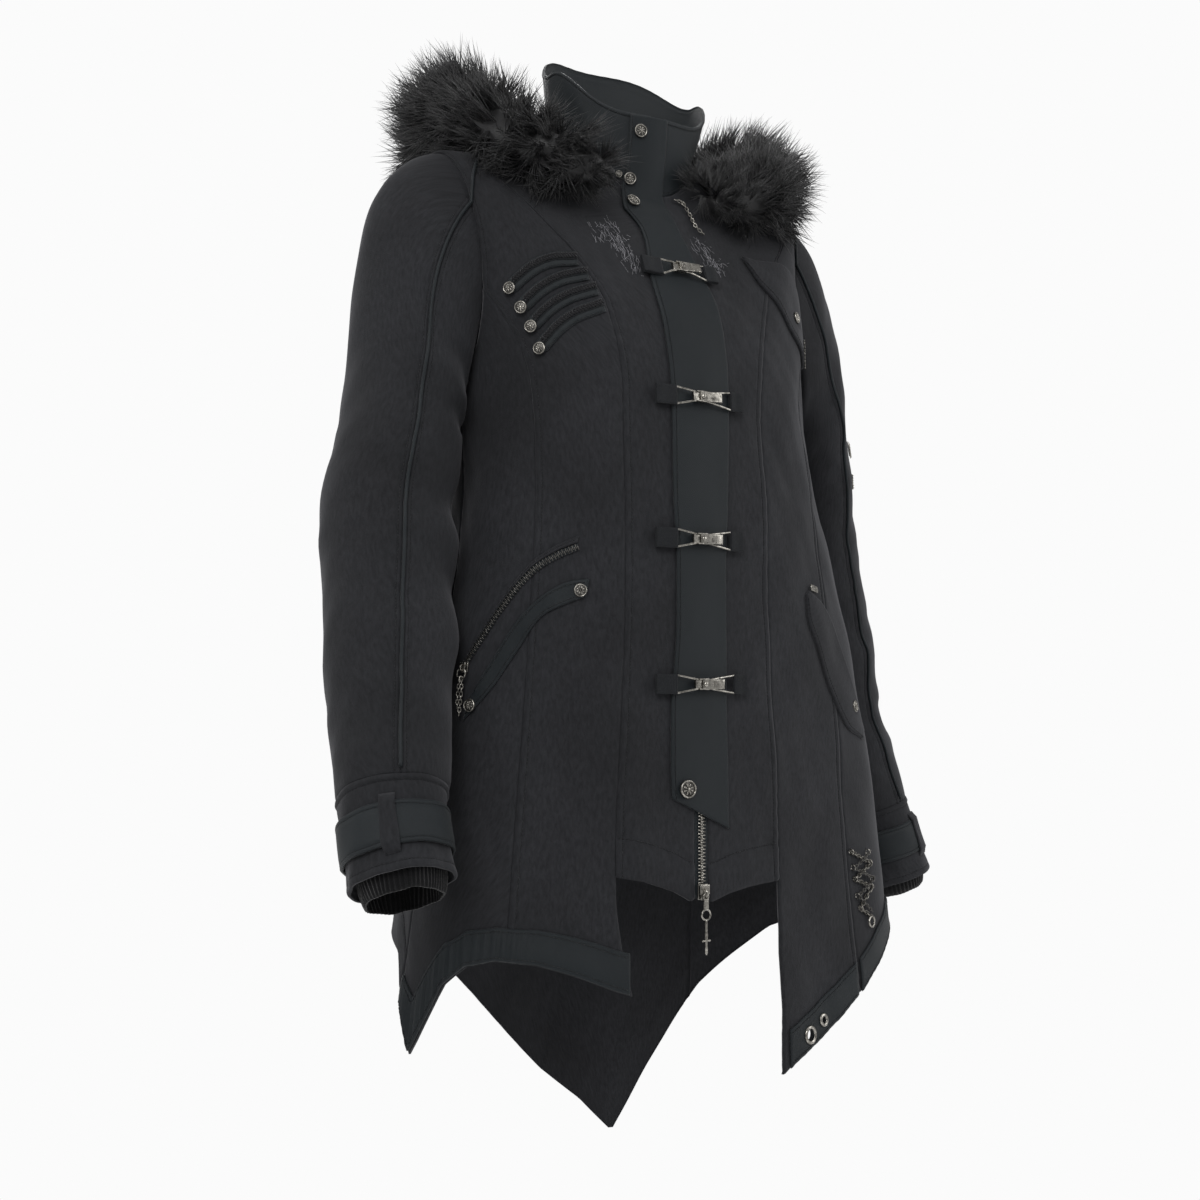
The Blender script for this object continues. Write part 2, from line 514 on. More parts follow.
def add_row(name, shape, points, ahead, out, finish, size=1.0, waver=0.06, body="jacket", nodes=()):
    """Copies of a small shape, one at each point."""
    data = bpy.data.meshes.new(name + "_points")
    data.from_pydata(np.asarray(points, float).tolist(), [], [])
    for label, vectors in (("ahead", ahead), ("out", out)):
        layer = data.attributes.new(label, "FLOAT_VECTOR", "POINT")
        layer.data.foreach_set("vector", np.asarray(vectors, np.float32).ravel())
    carrier = bpy.data.objects.new(name + "_points", data)
    bpy.context.scene.collection.objects.link(carrier)
    return baked(name, carrier, ROW, {"Shape": shape, "Size": size, "Waver": waver, "Finish": finish},
                 body, nodes)


def small_shape(name, points, faces):
    """A shape to be repeated: it is kept out of the scene."""
    data = bpy.data.meshes.new(name)
    data.from_pydata([tuple(p) for p in points], [], [tuple(f) for f in faces])
    data.update()
    return bpy.data.objects.new(name, data)


def stitch_shape():
    """One stitch: a short thread that dips into the cloth at both ends."""
    points, faces = [], []
    for x, width, height in ((-1.0, 0.12, -0.3), (-0.5, 0.26, 0.1), (0.5, 0.26, 0.1), (1.0, 0.12, -0.3)):
        for turn in np.radians([90, 210, 330]):
            points.append((x * 0.00118, width * 0.00148 * math.cos(turn),
                           width * 0.00110 * math.sin(turn) + height * 0.0005))
    for i in range(3):
        for k in range(3):
            a, b = i * 3 + k, i * 3 + (k + 1) % 3
            faces.append((a, b, b + 3, a + 3))
    return small_shape("stitch", points, faces)


STITCH = stitch_shape()
stitch_rows = {}  # what the stitching is sewn through -> lists of points, directions and normals


def sew(group, line, normal, step=STITCH_STEP):
    """Keeps a line of stitches along points of the cloth, to be made once all are known."""
    run = np.concatenate([[0], np.cumsum(np.linalg.norm(np.diff(line, axis=0), axis=1))])
    at = np.arange(step * 0.6, run[-1] - step * 0.4, step)
    if len(at) < 2:
        return
    spots = np.stack([np.interp(at, run, line[:, k]) for k in range(3)], -1)
    outs = unit(np.stack([np.interp(at, run, normal[:, k]) for k in range(3)], -1))
    stitch_rows.setdefault(group, []).append((spots, unit(np.gradient(spots, axis=0)), outs))


def princess(side, level):
    return read(PRINCESS, ("level", "right", "left"), level, "left" if side > 0 else "right")


def seam(table, level):
    return smooth_value(level, [row[0] for row in table], [row[1] for row in table])


def hem_level(hem, angle):
    return np.interp(angle, [row[0] for row in hem], [row[1] for row in hem])


def with_hem(line, hem, rows):
    """Rows of one seam from the hem up: line gives the angle for a level."""
    low = rows[0] - 0.1
    for _ in range(20):
        low = hem_level(hem, line(low))
    levels = [low + (rows[0] - low) * k / HEM_ROWS for k in range(HEM_ROWS)] + list(rows)
    return np.array([(line(level), level) for level in levels])


def mirrored(side, line):
    line = np.array(line, float)
    line[..., 0] *= side
    return line


def zip_edge(level):
    return math.degrees(math.asin(ZIP_HALF / 0.13)) * (1 + 0.9 * min(1, max(0, (level + 0.1) / 0.22)))


def fine_index(count):
    """Places between the rows of a table, closer at the hem."""
    near = [0, 0.02, 0.045, 0.08, 0.13, 0.2, 0.3, 0.4, 0.48, 0.56, 0.64, 0.72, 0.80, 0.88]
    return np.array(near + list(np.arange(1, count - 1, 1 / ROW_STEPS)) + [count - 1])


def fine_line(line, index):
    own = np.arange(len(line))
    return np.stack([smooth_value(index, own, line[:, k]) for k in (0, 1)], -1)


def seam_relief(distance, run, stitched):
    """The cloth turns down into a seam, and lies double as far as its topstitching."""
    pucker = 0.00022 * np.sin(run * 2 * math.pi / 0.0135 + 1.7 * np.sin(run * 31))
    out = -0.0011 * np.exp(-(distance / 0.0012) ** 2) + pucker * np.exp(-(distance / 0.010) ** 2)
    if stitched:
        out = out + 0.00045 / (1 + np.exp((distance - STITCH_IN) / 0.0005))
        out = out - 0.00055 * np.exp(-((distance - STITCH_IN) / 0.0007) ** 2)
    return out


def seam_shares(width):
    """How far across each row its columns lie: close together beside both seams."""
    count = max(4, int(width.max() / MIDDLE_STEP))
    near = np.minimum(np.array(EDGE_COLUMNS)[None] / width[:, None], 0.46)
    reach = near[:, -1:]
    middle = reach + (1 - 2 * reach) * np.linspace(0, 1, count)[None]
    return np.concatenate([near[:, :-1], middle, (1 - near)[:, ::-1][:, 1:]], 1)


def panel(name, first, second, hem, top=None, stitched=(False, True), facing=0.0, slot="napped_cloth"):
    """A body panel between two seams, given as rows of angle and level, first to second going
    anticlockwise seen from outside; its lower rows follow the hem, its upper ones the top."""
    index = fine_index(len(first))
    first, second = fine_line(first, index), fine_line(second, index)
    ends = cloth(first[:, 0], first[:, 1]), cloth(second[:, 0], second[:, 1])
    middle = cloth((first[:, 0] + second[:, 0]) / 2, (first[:, 1] + second[:, 1]) / 2)
    width = np.linalg.norm(ends[0] - middle, axis=1) + np.linalg.norm(ends[1] - middle, axis=1)
    share = seam_shares(width)
    share = share[..., None]
    places = first[:, None] * (1 - share) + second[:, None] * share
    missing = hem_level(hem, places[0, :, 0]) - places[0, :, 1]
    places[..., 1] += missing * np.clip(1 - index / HEM_ROWS, 0, 1)[:, None]
    if top is not None:
        own = np.linspace(0, 1, len(top))
        edge = np.stack([np.interp(share[-1, :, 0], own, top[:, k]) for k in (0, 1)], -1)
        weight = np.clip(1 - (index[-1] - index) / 5, 0, 1) ** 2
        places += (edge - places[-1])[None] * weight[:, None, None]
    plain = cloth(places[..., 0], places[..., 1])
    run = run_length(plain, 0)
    out = seam_relief(share[..., 0] * width[:, None], run, stitched[0])
    out = out + seam_relief((1 - share[..., 0]) * width[:, None], run, stitched[1])
    out = out - 0.0009 * np.exp(-(run / 0.0014) ** 2)
    if facing:
        out = out + 0.0005 / (1 + np.exp((run - facing) / 0.0006)) - 0.0007 * np.exp(-((run - facing) / 0.0009) ** 2)
    normal = outward(cloth_point, places[..., 0], places[..., 1])
    outer = plain + normal * np.asarray(out)[..., None]
    for edge, beside in ((0, 1), (-1, -2)):
        outer[:, edge] -= unit(outer[:, beside] - outer[:, edge]) * GAP / 2
    made = add_sheet(name + "_cloth", outer, outer - normal * WALL, NAPPED, slot, [name])
    for k, is_stitched in enumerate(stitched):
        if is_stitched:
            at = np.abs(share[:, :, 0] * width[:, None] - (STITCH_IN if k == 0 else width[:, None] - STITCH_IN))
            pick = at.argmin(1)
            rows = np.arange(len(outer))
            sew("panels", outer[rows, pick] + normal[rows, pick] * 0.00022, normal[rows, pick])
    if facing:
        columns = range(2, outer.shape[1] - 2)
        line, outs = (np.array([[np.interp(facing + 0.0022, run[:, c], grid[:, c, k]) for k in range(3)]
                                for c in columns]) for grid in (outer, normal))
        sew("panels", line + outs * 0.0003, outs)
    return made, places, outer, normal


HEM_FACING = {"front_centre_": 0.031, "front_middle_": 0, "front_side_": 0, "back_side_": 0.030}
meet = math.degrees(math.acos((ARM_MID - SEAM_MEET) / ARM_HALF))
arm_front = armhole(np.linspace(meet, 180, 9)[1:])
arm_back = armhole(np.linspace(-meet, -180, 9)[1:])
for side, tag in ((-1, "r"), (1, "l")):
    hem_around = sorted((side * a, z) for a, z in HEM_AROUND)
    hem_centre = sorted((side * a, z) for a, z in HEM_CENTRE)
    inner_low = with_hem(lambda t: float(princess(side, t)), hem_centre, LEVELS)
    inner_slit = with_hem(lambda t: float(princess(side, t)), hem_around, LEVELS)
    inner_up = np.array([(float(princess(side, t)), t) for t in UPPER_LEVELS])
    second = with_hem(lambda t: float(seam(SIDE_FRONT, t)), hem_around, LEVELS)
    behind = with_hem(lambda t: float(seam(SIDE_BACK, t)), hem_around, LEVELS)
    side_seam = with_hem(lambda t: 88.0 + 2.0 * (t + 0.56) / 0.37 if t > -0.56 else 88.0, hem_around, SIDE_LEVELS)
    second[-1], behind[-1], side_seam[-1] = armhole(meet), armhole(-meet), armhole(0)
    shoulder = np.array([(90, t) for t in (0.060, 0.090, NECK)])
    front = np.concatenate([with_hem(zip_edge, hem_centre, LEVELS),
                            np.array([(zip_edge(t), t) for t in CENTRE_LEVELS])])
    panels = [
        ("front_centre_", front, np.concatenate([inner_low, inner_up, shoulder]), hem_centre, None, (False, True)),
        ("front_middle_", np.concatenate([inner_slit, inner_up]), np.concatenate([second, arm_front]),
         hem_around, None, (False, True)),
        ("front_side_", second, side_seam, hem_around, armhole(np.linspace(meet, 0, 40)), (False, False)),
        ("back_side_", side_seam, behind, hem_around, armhole(np.linspace(0, -meet, 40)), (False, False)),
    ]
    for name, low_line, high_line, hem, top, stitched in panels:
        if side < 0:
            hem = sorted((-a, z) for a, z in hem)
            low_line, high_line = mirrored(-1, high_line), mirrored(-1, low_line)
            top, stitched = (None if top is None else mirrored(-1, top)[::-1]), stitched[::-1]
        panel(name + tag, low_line, high_line, hem, top, stitched, HEM_FACING[name])
shoulder = np.array([(90, t) for t in (0.015, 0.030, 0.060, 0.090, NECK)])
around = sorted(HEM_AROUND)
left = with_hem(lambda t: float(seam(SIDE_BACK, t)), around, LEVELS)
right = with_hem(lambda t: float(seam(SIDE_BACK, t)), sorted((-a, z) for a, z in HEM_AROUND), LEVELS)
left[-1] = right[-1] = armhole(-meet)
left, right = np.concatenate([left, arm_back, shoulder]), np.concatenate([right, arm_back, shoulder])
right[:, 0] = 360 - right[:, 0]
panel("back_centre", left, right, around, None, (True, True), 0.030)

# ---- sleeves -----------------------------------------------------------------------------------
# Two-piece sleeves of the same cloth, set into the armholes, with a corded piping in the front
# seam. They hang as worn, bent a little at the elbow, where the cloth creases.
SLEEVE_COLUMNS = ("down", "x", "y", "z", "across", "deep")
SLEEVE_RIGHT = [
    (0.24, -0.2215, 0.010, -0.245, 0.0530, 0.0700),
    (0.31, -0.2325, 0.008, -0.315, 0.0580, 0.0670),
    (0.37, -0.2355, -0.002, -0.375, 0.0575, 0.0640),
    (0.43, -0.2410, -0.018, -0.434, 0.0550, 0.0610),
    (0.49, -0.2465, -0.038, -0.492, 0.0520, 0.0570),
    (0.55, -0.2545, -0.062, -0.548, 0.0465, 0.0510),
    (0.60, -0.2590, -0.085, -0.594, 0.0405, 0.0438),
    (0.70, -0.2610, -0.127, -0.684, 0.0395, 0.0425),
]
SLEEVE_LEFT = [
    (0.24, 0.2390, 0.030, -0.245, 0.0420, 0.0700),
    (0.31, 0.2560, 0.045, -0.315, 0.0500, 0.0670),
    (0.37, 0.2760, 0.058, -0.375, 0.0530, 0.0650),
    (0.43, 0.2940, 0.063, -0.434, 0.0540, 0.0620),
    (0.49, 0.3050, 0.064, -0.492, 0.0530, 0.0590),
    (0.55, 0.3240, 0.060, -0.550, 0.0510, 0.0560),
    (0.60, 0.3400, 0.055, -0.597, 0.0490, 0.0530),
    (0.74, 0.3750, 0.042, -0.733, 0.0490, 0.0540),
]
CUFF_SEAM = {"r": 0.563, "l": 0.604}
CUFF_EDGE = {"r": 0.636, "l": 0.683}
SLEEVE_FOLDS = [  # down the arm, angle round it, half length, half angle, how far out
    (0.11, 100, 0.030, 45, -0.0040), (0.16, 78, 0.026, 50, 0.0035), (0.21, 120, 0.028, 50, -0.0035),
    (0.305, 150, 0.022, 60, -0.0045), (0.345, 120, 0.022, 60, 0.0040), (0.385, 165, 0.020, 60, -0.0045),
    (0.43, 135, 0.022, 60, 0.0040), (0.475, 110, 0.022, 55, -0.0035), (0.33, 285, 0.026, 50, -0.0035),
    (0.41, 300, 0.026, 50, -0.0030), (0.515, 60, 0.020, 60, -0.0030), (0.20, 270, 0.035, 45, 0.0035),
]
SLEEVE_CREASES = [  # down the arm, angle, half length, half width, slope in degrees, how far out
    (0.075, 30, 0.045, 0.010, 20, -0.0012), (0.130, 50, 0.050, 0.010, 28, 0.0012),
    (0.185, 15, 0.055, 0.011, -24, -0.0013), (0.240, 62, 0.045, 0.009, 30, 0.0012),
    (0.275, 20, 0.050, 0.010, 14, -0.0014), (0.310, 70, 0.042, 0.008, 22, 0.0015),
    (0.335, 10, 0.050, 0.009, -16, 0.0013), (0.360, 96, 0.040, 0.008, 26, -0.0016),
    (0.395, 40, 0.052, 0.009, 18, -0.0014), (0.425, 84, 0.042, 0.008, -18, 0.0014),
    (0.470, 20, 0.050, 0.010, 26, 0.0012), (0.500, 66, 0.040, 0.008, 12, -0.0013),
    (0.540, 30, 0.035, 0.008, 8, 0.0012), (0.300, 200, 0.045, 0.009, 20, -0.0015),
    (0.350, 240, 0.045, 0.009, -20, 0.0015), (0.400, 220, 0.045, 0.009, 12, -0.0015),
    (0.150, 230, 0.050, 0.010, 30, 0.0014), (0.450, 260, 0.045, 0.009, 20, 0.0014),
    (0.250, 320, 0.050, 0.010, -22, -0.0013), (0.480, 330, 0.045, 0.010, 18, -0.0013),
    (0.555, 150, 0.032, 0.008, 6, 0.0012), (0.535, 240, 0.032, 0.008, 8, -0.0012),
]


def sleeve_relief(turn, down):
    out = np.zeros(np.broadcast(turn, down).shape)
    for height, angle, length, degrees, rise in SLEEVE_FOLDS:
        apart = (turn - angle + 180) % 360 - 180
        out = out + rise * np.exp(-(apart / degrees) ** 2 - ((down - height) / length) ** 2)
    for height, angle, length, width, slope, far in SLEEVE_CREASES:
        across = ((turn - angle + 180) % 360 - 180) * 0.0010
        below = down - height
        cosine, sine = math.cos(math.radians(slope)), math.sin(math.radians(slope))
        along, aside = across * cosine + below * sine, below * cosine - across * sine
        out = out + far * np.exp(-(along / length) ** 2 - (aside / width) ** 2) * np.clip(down / 0.05, 0, 1)
    turned = np.radians(turn)
    soft = (0.0006 * np.sin(3 * turned + 46 * down) + 0.0005 * np.sin(5 * turned - 71 * down + 1)
            + 0.0003 * np.sin(9 * turned + 120 * down))
    return out + soft * np.clip(down / 0.04, 0, 1)


def sleeve_point(side, turn, down):
    """The outside of a sleeve. Turn 0 is the outer side, 90 the front, 180 against the body."""
    turn, down = np.broadcast_arrays(np.asarray(turn, float), np.asarray(down, float))
    table = SLEEVE_LEFT if side > 0 else SLEEVE_RIGHT
    at = np.maximum(down, 0.24)

    def middle(d):
        return np.stack([read(table, SLEEVE_COLUMNS, d, k) for k in "xyz"], -1)

    def ring(d):
        ahead = unit(middle(d + 0.004) - middle(d - 0.004))
        out = np.zeros(ahead.shape)
        out[..., 0] = side
        out = unit(out - ahead * (out * ahead).sum(-1, keepdims=True))
        front = np.zeros(ahead.shape)
        front[..., 1] = -1
        front = unit(front - ahead * (front * ahead).sum(-1, keepdims=True)
                     - out * (front * out).sum(-1, keepdims=True))
        across = read(table, SLEEVE_COLUMNS, d, "across")[..., None]
        deep = read(table, SLEEVE_COLUMNS, d, "deep")[..., None]
        angle = np.radians(turn)[..., None]
        return middle(d) + out * across * np.cos(angle) + front * deep * np.sin(angle)

    low = ring(at)
    place = armhole(180 - turn)
    under = (1 - np.cos(np.radians(turn))) / 2
    arm = cloth(side * place[..., 0], place[..., 1], GAP + 0.0013 * under**2)
    tilt = np.radians((17 if side < 0 else 26) + (66 if side < 0 else 56) * under**0.75)
    away = np.stack([side * np.cos(tilt), 0 * tilt, -np.sin(tilt)], -1)
    start = arm + away * GAP * 1.3
    joint = ring(np.full(down.shape, 0.24))
    below = unit(ring(np.full(down.shape, 0.252)) - joint)
    far = np.linalg.norm(joint - start, axis=-1, keepdims=True)
    s = np.clip(down / 0.24, -0.02, 1)[..., None]
    fuller = 1.12 if side < 0 else 1.0
    cap = ((2 * s**3 - 3 * s**2 + 1) * start + (s**3 - 2 * s**2 + s) * away * far * fuller
           + (3 * s**2 - 2 * s**3) * joint + (s**3 - s**2) * below * far * 0.95)
    base = np.where(s < 1, cap, low)
    centre = np.where(s < 1, middle(at) * s + (1 - s) * np.array([side * 0.19, 0.0, -0.1]), middle(at))
    return base + unit(base - centre) * sleeve_relief(turn, down)[..., None]


def sleeve_normal(side, turn, down):
    around = sleeve_point(side, turn + 1.5, down) - sleeve_point(side, turn - 1.5, down)
    lower = sleeve_point(side, turn, down + 0.003)
    upper = sleeve_point(side, turn, np.maximum(down - 0.003, 0.0))
    return side * unit(np.cross(around, lower - upper))


def sleeve(side, turn, down, lift=0.0):
    turn, down = np.broadcast_arrays(np.asarray(turn, float), np.asarray(down, float))
    lift = np.broadcast_to(np.asarray(lift, float), turn.shape)
    return sleeve_point(side, turn, down) + sleeve_normal(side, turn, down) * lift[..., None]


def front_seam(down):
    return np.interp(down, [0, 0.06, 0.16, 0.30, 0.66], [60, 66, 76, 80, 76])


def back_seam(down):
    return np.interp(down, [0, 0.10, 0.30, 0.66], [-62, -76, -92, -96])


def sleeve_sheet(name, side, turns, downs, lift, finish, slot, ring=False, thick=WALL, **more):
    """A wall on the sleeve, its rows going down the arm; lift is how far its outside stands out."""
    turns, downs, lift = np.broadcast_arrays(turns, downs, lift)
    normal = sleeve_normal(side, turns, downs)
    outer = sleeve_point(side, turns, downs) + normal * lift[..., None]
    inner = outer - normal * thick
    flipped = slice(None, None, -1) if side < 0 else slice(None)
    made = add_sheet(name, outer[flipped], inner[flipped], finish, slot, ring=ring, **more)
    return made, outer, normal


def half_sleeve(name, side, first, second, stitched):
    end = CUFF_SEAM[name[-1]]
    downs = np.concatenate([[-0.0020, 0, 0.0008, 0.0018, 0.0035, 0.0055], np.arange(0.009, end - 0.006, 0.0062),
                            [end - 0.0045, end - 0.0025, end - 0.001, end]])
    edges = [sleeve_point(side, line(downs), downs) for line in (first, second)]
    turn_middle = (first(downs) + second(downs)) / 2
    quarter = [sleeve_point(side, (line(downs) + turn_middle) / 2, downs) for line in (first, second)]
    centre = sleeve_point(side, turn_middle, downs)
    chain = [edges[0], quarter[0], centre, quarter[1], edges[1]]
    width = sum(np.linalg.norm(b - a, axis=1) for a, b in zip(chain, chain[1:]))
    share = seam_shares(width)
    turns = first(downs)[:, None] * (1 - share) + second(downs)[:, None] * share
    run = np.broadcast_to(downs[:, None], share.shape)
    lift = seam_relief(share * width[:, None], run, stitched[0])
    lift = lift + seam_relief((1 - share) * width[:, None], run, stitched[1])
    lift = lift - 0.0010 * np.exp(-(run / 0.0016) ** 2) - 0.0008 * np.exp(-((end - run) / 0.0016) ** 2)
    made, outer, normal = sleeve_sheet(name + "_cloth", side, turns, downs[:, None], lift, NAPPED,
                                       "napped_cloth", nodes=[name])
    for k, is_stitched in enumerate(stitched):
        if is_stitched:
            pick = np.abs((share if k == 0 else 1 - share) * width[:, None] - STITCH_IN).argmin(1)
            rows = np.arange(len(outer))
            sew("sleeves", outer[rows, pick] + normal[rows, pick] * 0.0002, normal[rows, pick])


def tube(path, radius, sides, closed=False):
    """Points and faces of a round cord along a path."""
    path = np.asarray(path, float)
    count = len(path)
    radius = np.broadcast_to(np.asarray(radius, float), (count,))
    ahead = unit(np.roll(path, -1, 0) - np.roll(path, 1, 0)) if closed else unit(np.gradient(path, axis=0))
    side = unit(np.cross(ahead, (0.31, -0.87, 0.37)))
    over = np.cross(side, ahead)
    turn = np.linspace(0, 2 * math.pi, sides, endpoint=False)
    ring = np.cos(turn)[None, :, None] * side[:, None] + np.sin(turn)[None, :, None] * over[:, None]
    points = (path[:, None] + ring * radius[:, None, None]).reshape(-1, 3)
    faces = []
    for i in range(count if closed else count - 1):
        for k in range(sides):
            a, b = i * sides + k, i * sides + (k + 1) % sides
            faces.append((a, (a + sides) % (count * sides), (b + sides) % (count * sides), b))
    if not closed:
        faces.append(tuple(range(sides)))
        faces.append(tuple(reversed(range((count - 1) * sides, count * sides))))
    return points, faces


def smooth_twill():
    """Dense smooth cloth with a fine diagonal rib, a little blue."""
    made, tree, shader = new_finish("smooth_cloth", 0.60, 0, 0.05, 0.35)
    shader.inputs["Specular IOR Level"].default_value = 0.20
    place = wire(tree, "ShaderNodeTexCoord").outputs
    slant = wire(tree, "ShaderNodeMapping", {"Rotation": (0, 0, math.radians(32))}, Vector=place["UV"])
    rib = wire(tree, "ShaderNodeTexWave", {"Scale": 430.0, "Distortion": 0.35, "Detail": 1.0},
               Vector=slant.outputs[0])
    yarn = wire(tree, "ShaderNodeTexNoise", {"Scale": 620.0, "Detail": 3.0}, Vector=place["UV"])
    worn = wire(tree, "ShaderNodeTexNoise", {"Scale": 14.0, "Detail": 3.0}, Vector=place["Object"])
    tone = mixed(tree, (0.0016, 0.0030, 0.0040), (0.0048, 0.0074, 0.0092), yarn.outputs[0])
    wide = wire(tree, "ShaderNodeMapRange", {1: 0.3, 2: 0.7, 3: 0.86, 4: 1.12}, _0=worn.outputs[0])
    color = wire(tree, "ShaderNodeVectorMath", {"operation": "SCALE"}, _0=tone)
    tree.links.new(wide.outputs[0], color.inputs["Scale"])
    tree.links.new(color.outputs[0], shader.inputs["Base Color"])
    bumped(tree, shader, [(rib.outputs[1], 0.0003, 0.35), (yarn.outputs[0], 0.0003, 0.25)])
    return made


SMOOTH = smooth_twill()
for side, tag in ((-1, "r"), (1, "l")):
    half_sleeve("sleeve_upper_" + tag, side, back_seam, front_seam, (True, True))
    half_sleeve("sleeve_under_" + tag, side, front_seam, lambda d: back_seam(d) + 360, (True, False))
    end = CUFF_SEAM[tag]
    down = np.arange(0.0, end - 0.002, 0.006)
    top = np.array([(side * a, t) for a, t in ((76, 0.014), (74.5, 0.000), (74.5, -0.018))])
    path = np.concatenate([cloth(top[:, 0], top[:, 1], 0.0023), sleeve(side, front_seam(down), down, 0.0018)])
    run = np.linspace(0, len(path) - 1, len(path) * 2)
    path = np.stack([np.interp(run, np.arange(len(path)), path[:, k]) for k in range(3)], -1)
    points, faces = tube(path, 0.00155, 8)
    add_mesh("piping_cord_" + tag, points, faces, SMOOTH, "jacket", ["piping_" + tag])

# ---- cuffs -------------------------------------------------------------------------------------
# A turned-back cuff with a corded seam at its top, a strap held by a sewn loop, and a rib-knit
# inner cuff that closes round the wrist.
STRAP_TOP, STRAP_LOW = 0.021, 0.054  # down from the cuff seam
STRAP_LIFT = {"r": 0.0022, "l": 0.0008}
LOOP_TURN = 62.0
RIBS = 56


def rib_knit():
    made, tree, shader = new_finish("rib_knit", 0.95, 0, 0.10, 0.5)
    place = wire(tree, "ShaderNodeTexCoord").outputs
    loops = wire(tree, "ShaderNodeTexVoronoi", {"Scale": 700.0, "Randomness": 0.5}, Vector=place["UV"])
    tree.links.new(mixed(tree, (0.0010, 0.0011, 0.0013), (0.0038, 0.0038, 0.0044), loops.outputs[0]),
                   shader.inputs["Base Color"])
    bumped(tree, shader, [(loops.outputs[0], 0.0006, 0.6)])
    return made


KNIT = rib_knit()
for side, tag in ((-1, "r"), (1, "l")):
    end, edge = CUFF_SEAM[tag], CUFF_EDGE[tag]
    turns = np.linspace(0, 360, 96, endpoint=False)[None]
    downs = np.concatenate([end + np.array([0, 0.0006, 0.0014, 0.0030, 0.0046, 0.0052, 0.0060]),
                            np.linspace(end + 0.009, edge - 0.009, 9),
                            edge - np.array([0.0070, 0.0062, 0.0050, 0.0025, 0.0010, 0.0])])[:, None]
    share = (downs - end) / (edge - end)
    flare = np.interp(downs, [end, edge - 0.018, edge], [0.0, 0.0010, 0.0035])
    wave = 0.0007 * np.sin(np.radians(turns) * 5 + 1) * share + 0.0005 * np.sin(np.radians(turns) * 11) * share
    lift = flare + wave + 0.0011 * np.exp(-((downs - end - 0.0026) / 0.0018) ** 2)
    lift = lift - 0.0007 * np.exp(-((downs - end - 0.0052) / 0.0006) ** 2)
    lift = lift - 0.0006 * np.exp(-((edge - 0.0062 - downs) / 0.0006) ** 2)
    lift = lift - 0.0010 * np.exp(-((edge - downs) / 0.0010) ** 2)
    made, outer, normal = sleeve_sheet("cuff_band_" + tag, side, turns, downs, lift, NAPPED, "napped_cloth", True,
                                       nodes=["cuff_" + tag])
    for row in (5, len(downs) - 5):
        line = np.concatenate([outer[row], outer[row, :1]]), np.concatenate([normal[row], normal[row, :1]])
        sew("sleeves", line[0] + line[1] * 0.0002, line[1])

    turns = np.linspace(-176, 172, 88)[None]
    downs = end + np.array([0, 0.0004, 0.0012, 0.0030, 0.0034, 0.0038, 0.0080, 0.0165,
                            0.0250, 0.0292, 0.0296, 0.0300, 0.0318, 0.0326, 0.0330])[:, None] + STRAP_TOP
    rise = (downs - end) / (edge - 0.018 - end)
    inside = np.minimum(downs - end - STRAP_TOP, end + STRAP_LOW - downs)
    lift = STRAP_LIFT[tag] + 0.0014 * rise + 0.0020 + 0.0004 * np.sin(np.radians(turns) * 4)
    lift = lift - 0.0010 * np.exp(-(inside / 0.0006) ** 2) - 0.0005 * np.exp(-((inside - 0.0034) / 0.0004) ** 2)
    made, outer, normal = sleeve_sheet("strap_of_cuff_" + tag, side, turns, downs, lift, SMOOTH, "smooth_cloth",
                                       thick=0.0018, nodes=["cuff_strap_" + tag], held="laid",
                                       rests_on=["cuff_band_" + tag])
    for row in (4, 10):
        sew("trim", outer[row] + normal[row] * 0.0002, normal[row], 0.0028)

    turns = LOOP_TURN + np.array([-8.2, -8.0, -7.0, -5.8, -2, 2, 5.8, 7.0, 8.0, 8.2])[None]
    downs = end + np.linspace(STRAP_TOP - 0.006, STRAP_LOW + 0.006, 15)[:, None]
    bulge = np.clip(np.minimum(downs - end - STRAP_TOP + 0.005, end + STRAP_LOW + 0.005 - downs) / 0.005, 0, 1)
    rise = (downs - end) / (edge - 0.018 - end)
    lift = 0.0016 + 0.0014 * rise + (STRAP_LIFT[tag] + 0.0026) * bulge
    lift = lift - 0.0006 * (np.abs(turns - LOOP_TURN) > 7.9) - 0.0003 * (np.abs(np.abs(turns - LOOP_TURN) - 5.8) < 0.1)
    sleeve_sheet("cuff_loop_" + tag, side, turns, downs, lift, NAPPED, "napped_cloth", thick=0.0014,
                 held="laid", rests_on=["strap_of_cuff_" + tag])

    turns = np.linspace(0, 360, RIBS * 6, endpoint=False)[None]
    downs = np.linspace(edge - 0.022, edge + 0.013, 9)[:, None]
    pull = np.interp(downs, [edge - 0.016, edge, edge + 0.011, edge + 0.013], [-0.0046, -0.0058, -0.0078, -0.0086])
    groove = 0.0005 * np.cos(np.radians(turns) * RIBS) + 0.0006 * np.sin(np.radians(turns) * 5 + downs * 60)
    sleeve_sheet("rib_of_cuff_" + tag, side, turns, downs, pull + groove, KNIT, "rib_knit", True, 0.0016,
                 nodes=["cuff_rib_" + tag], held="gathered")

# ---- collar and front zip ----------------------------------------------------------------------
# A stand collar of smooth twill, stitched along its rim, whose ends meet at a long metal zip.
# The zip's two rows of teeth sit on a woven tape behind the edges of the fronts.
TOOTH_STEP = 0.0030
ZIP_LOW, ZIP_HIGH = -0.652, 0.197


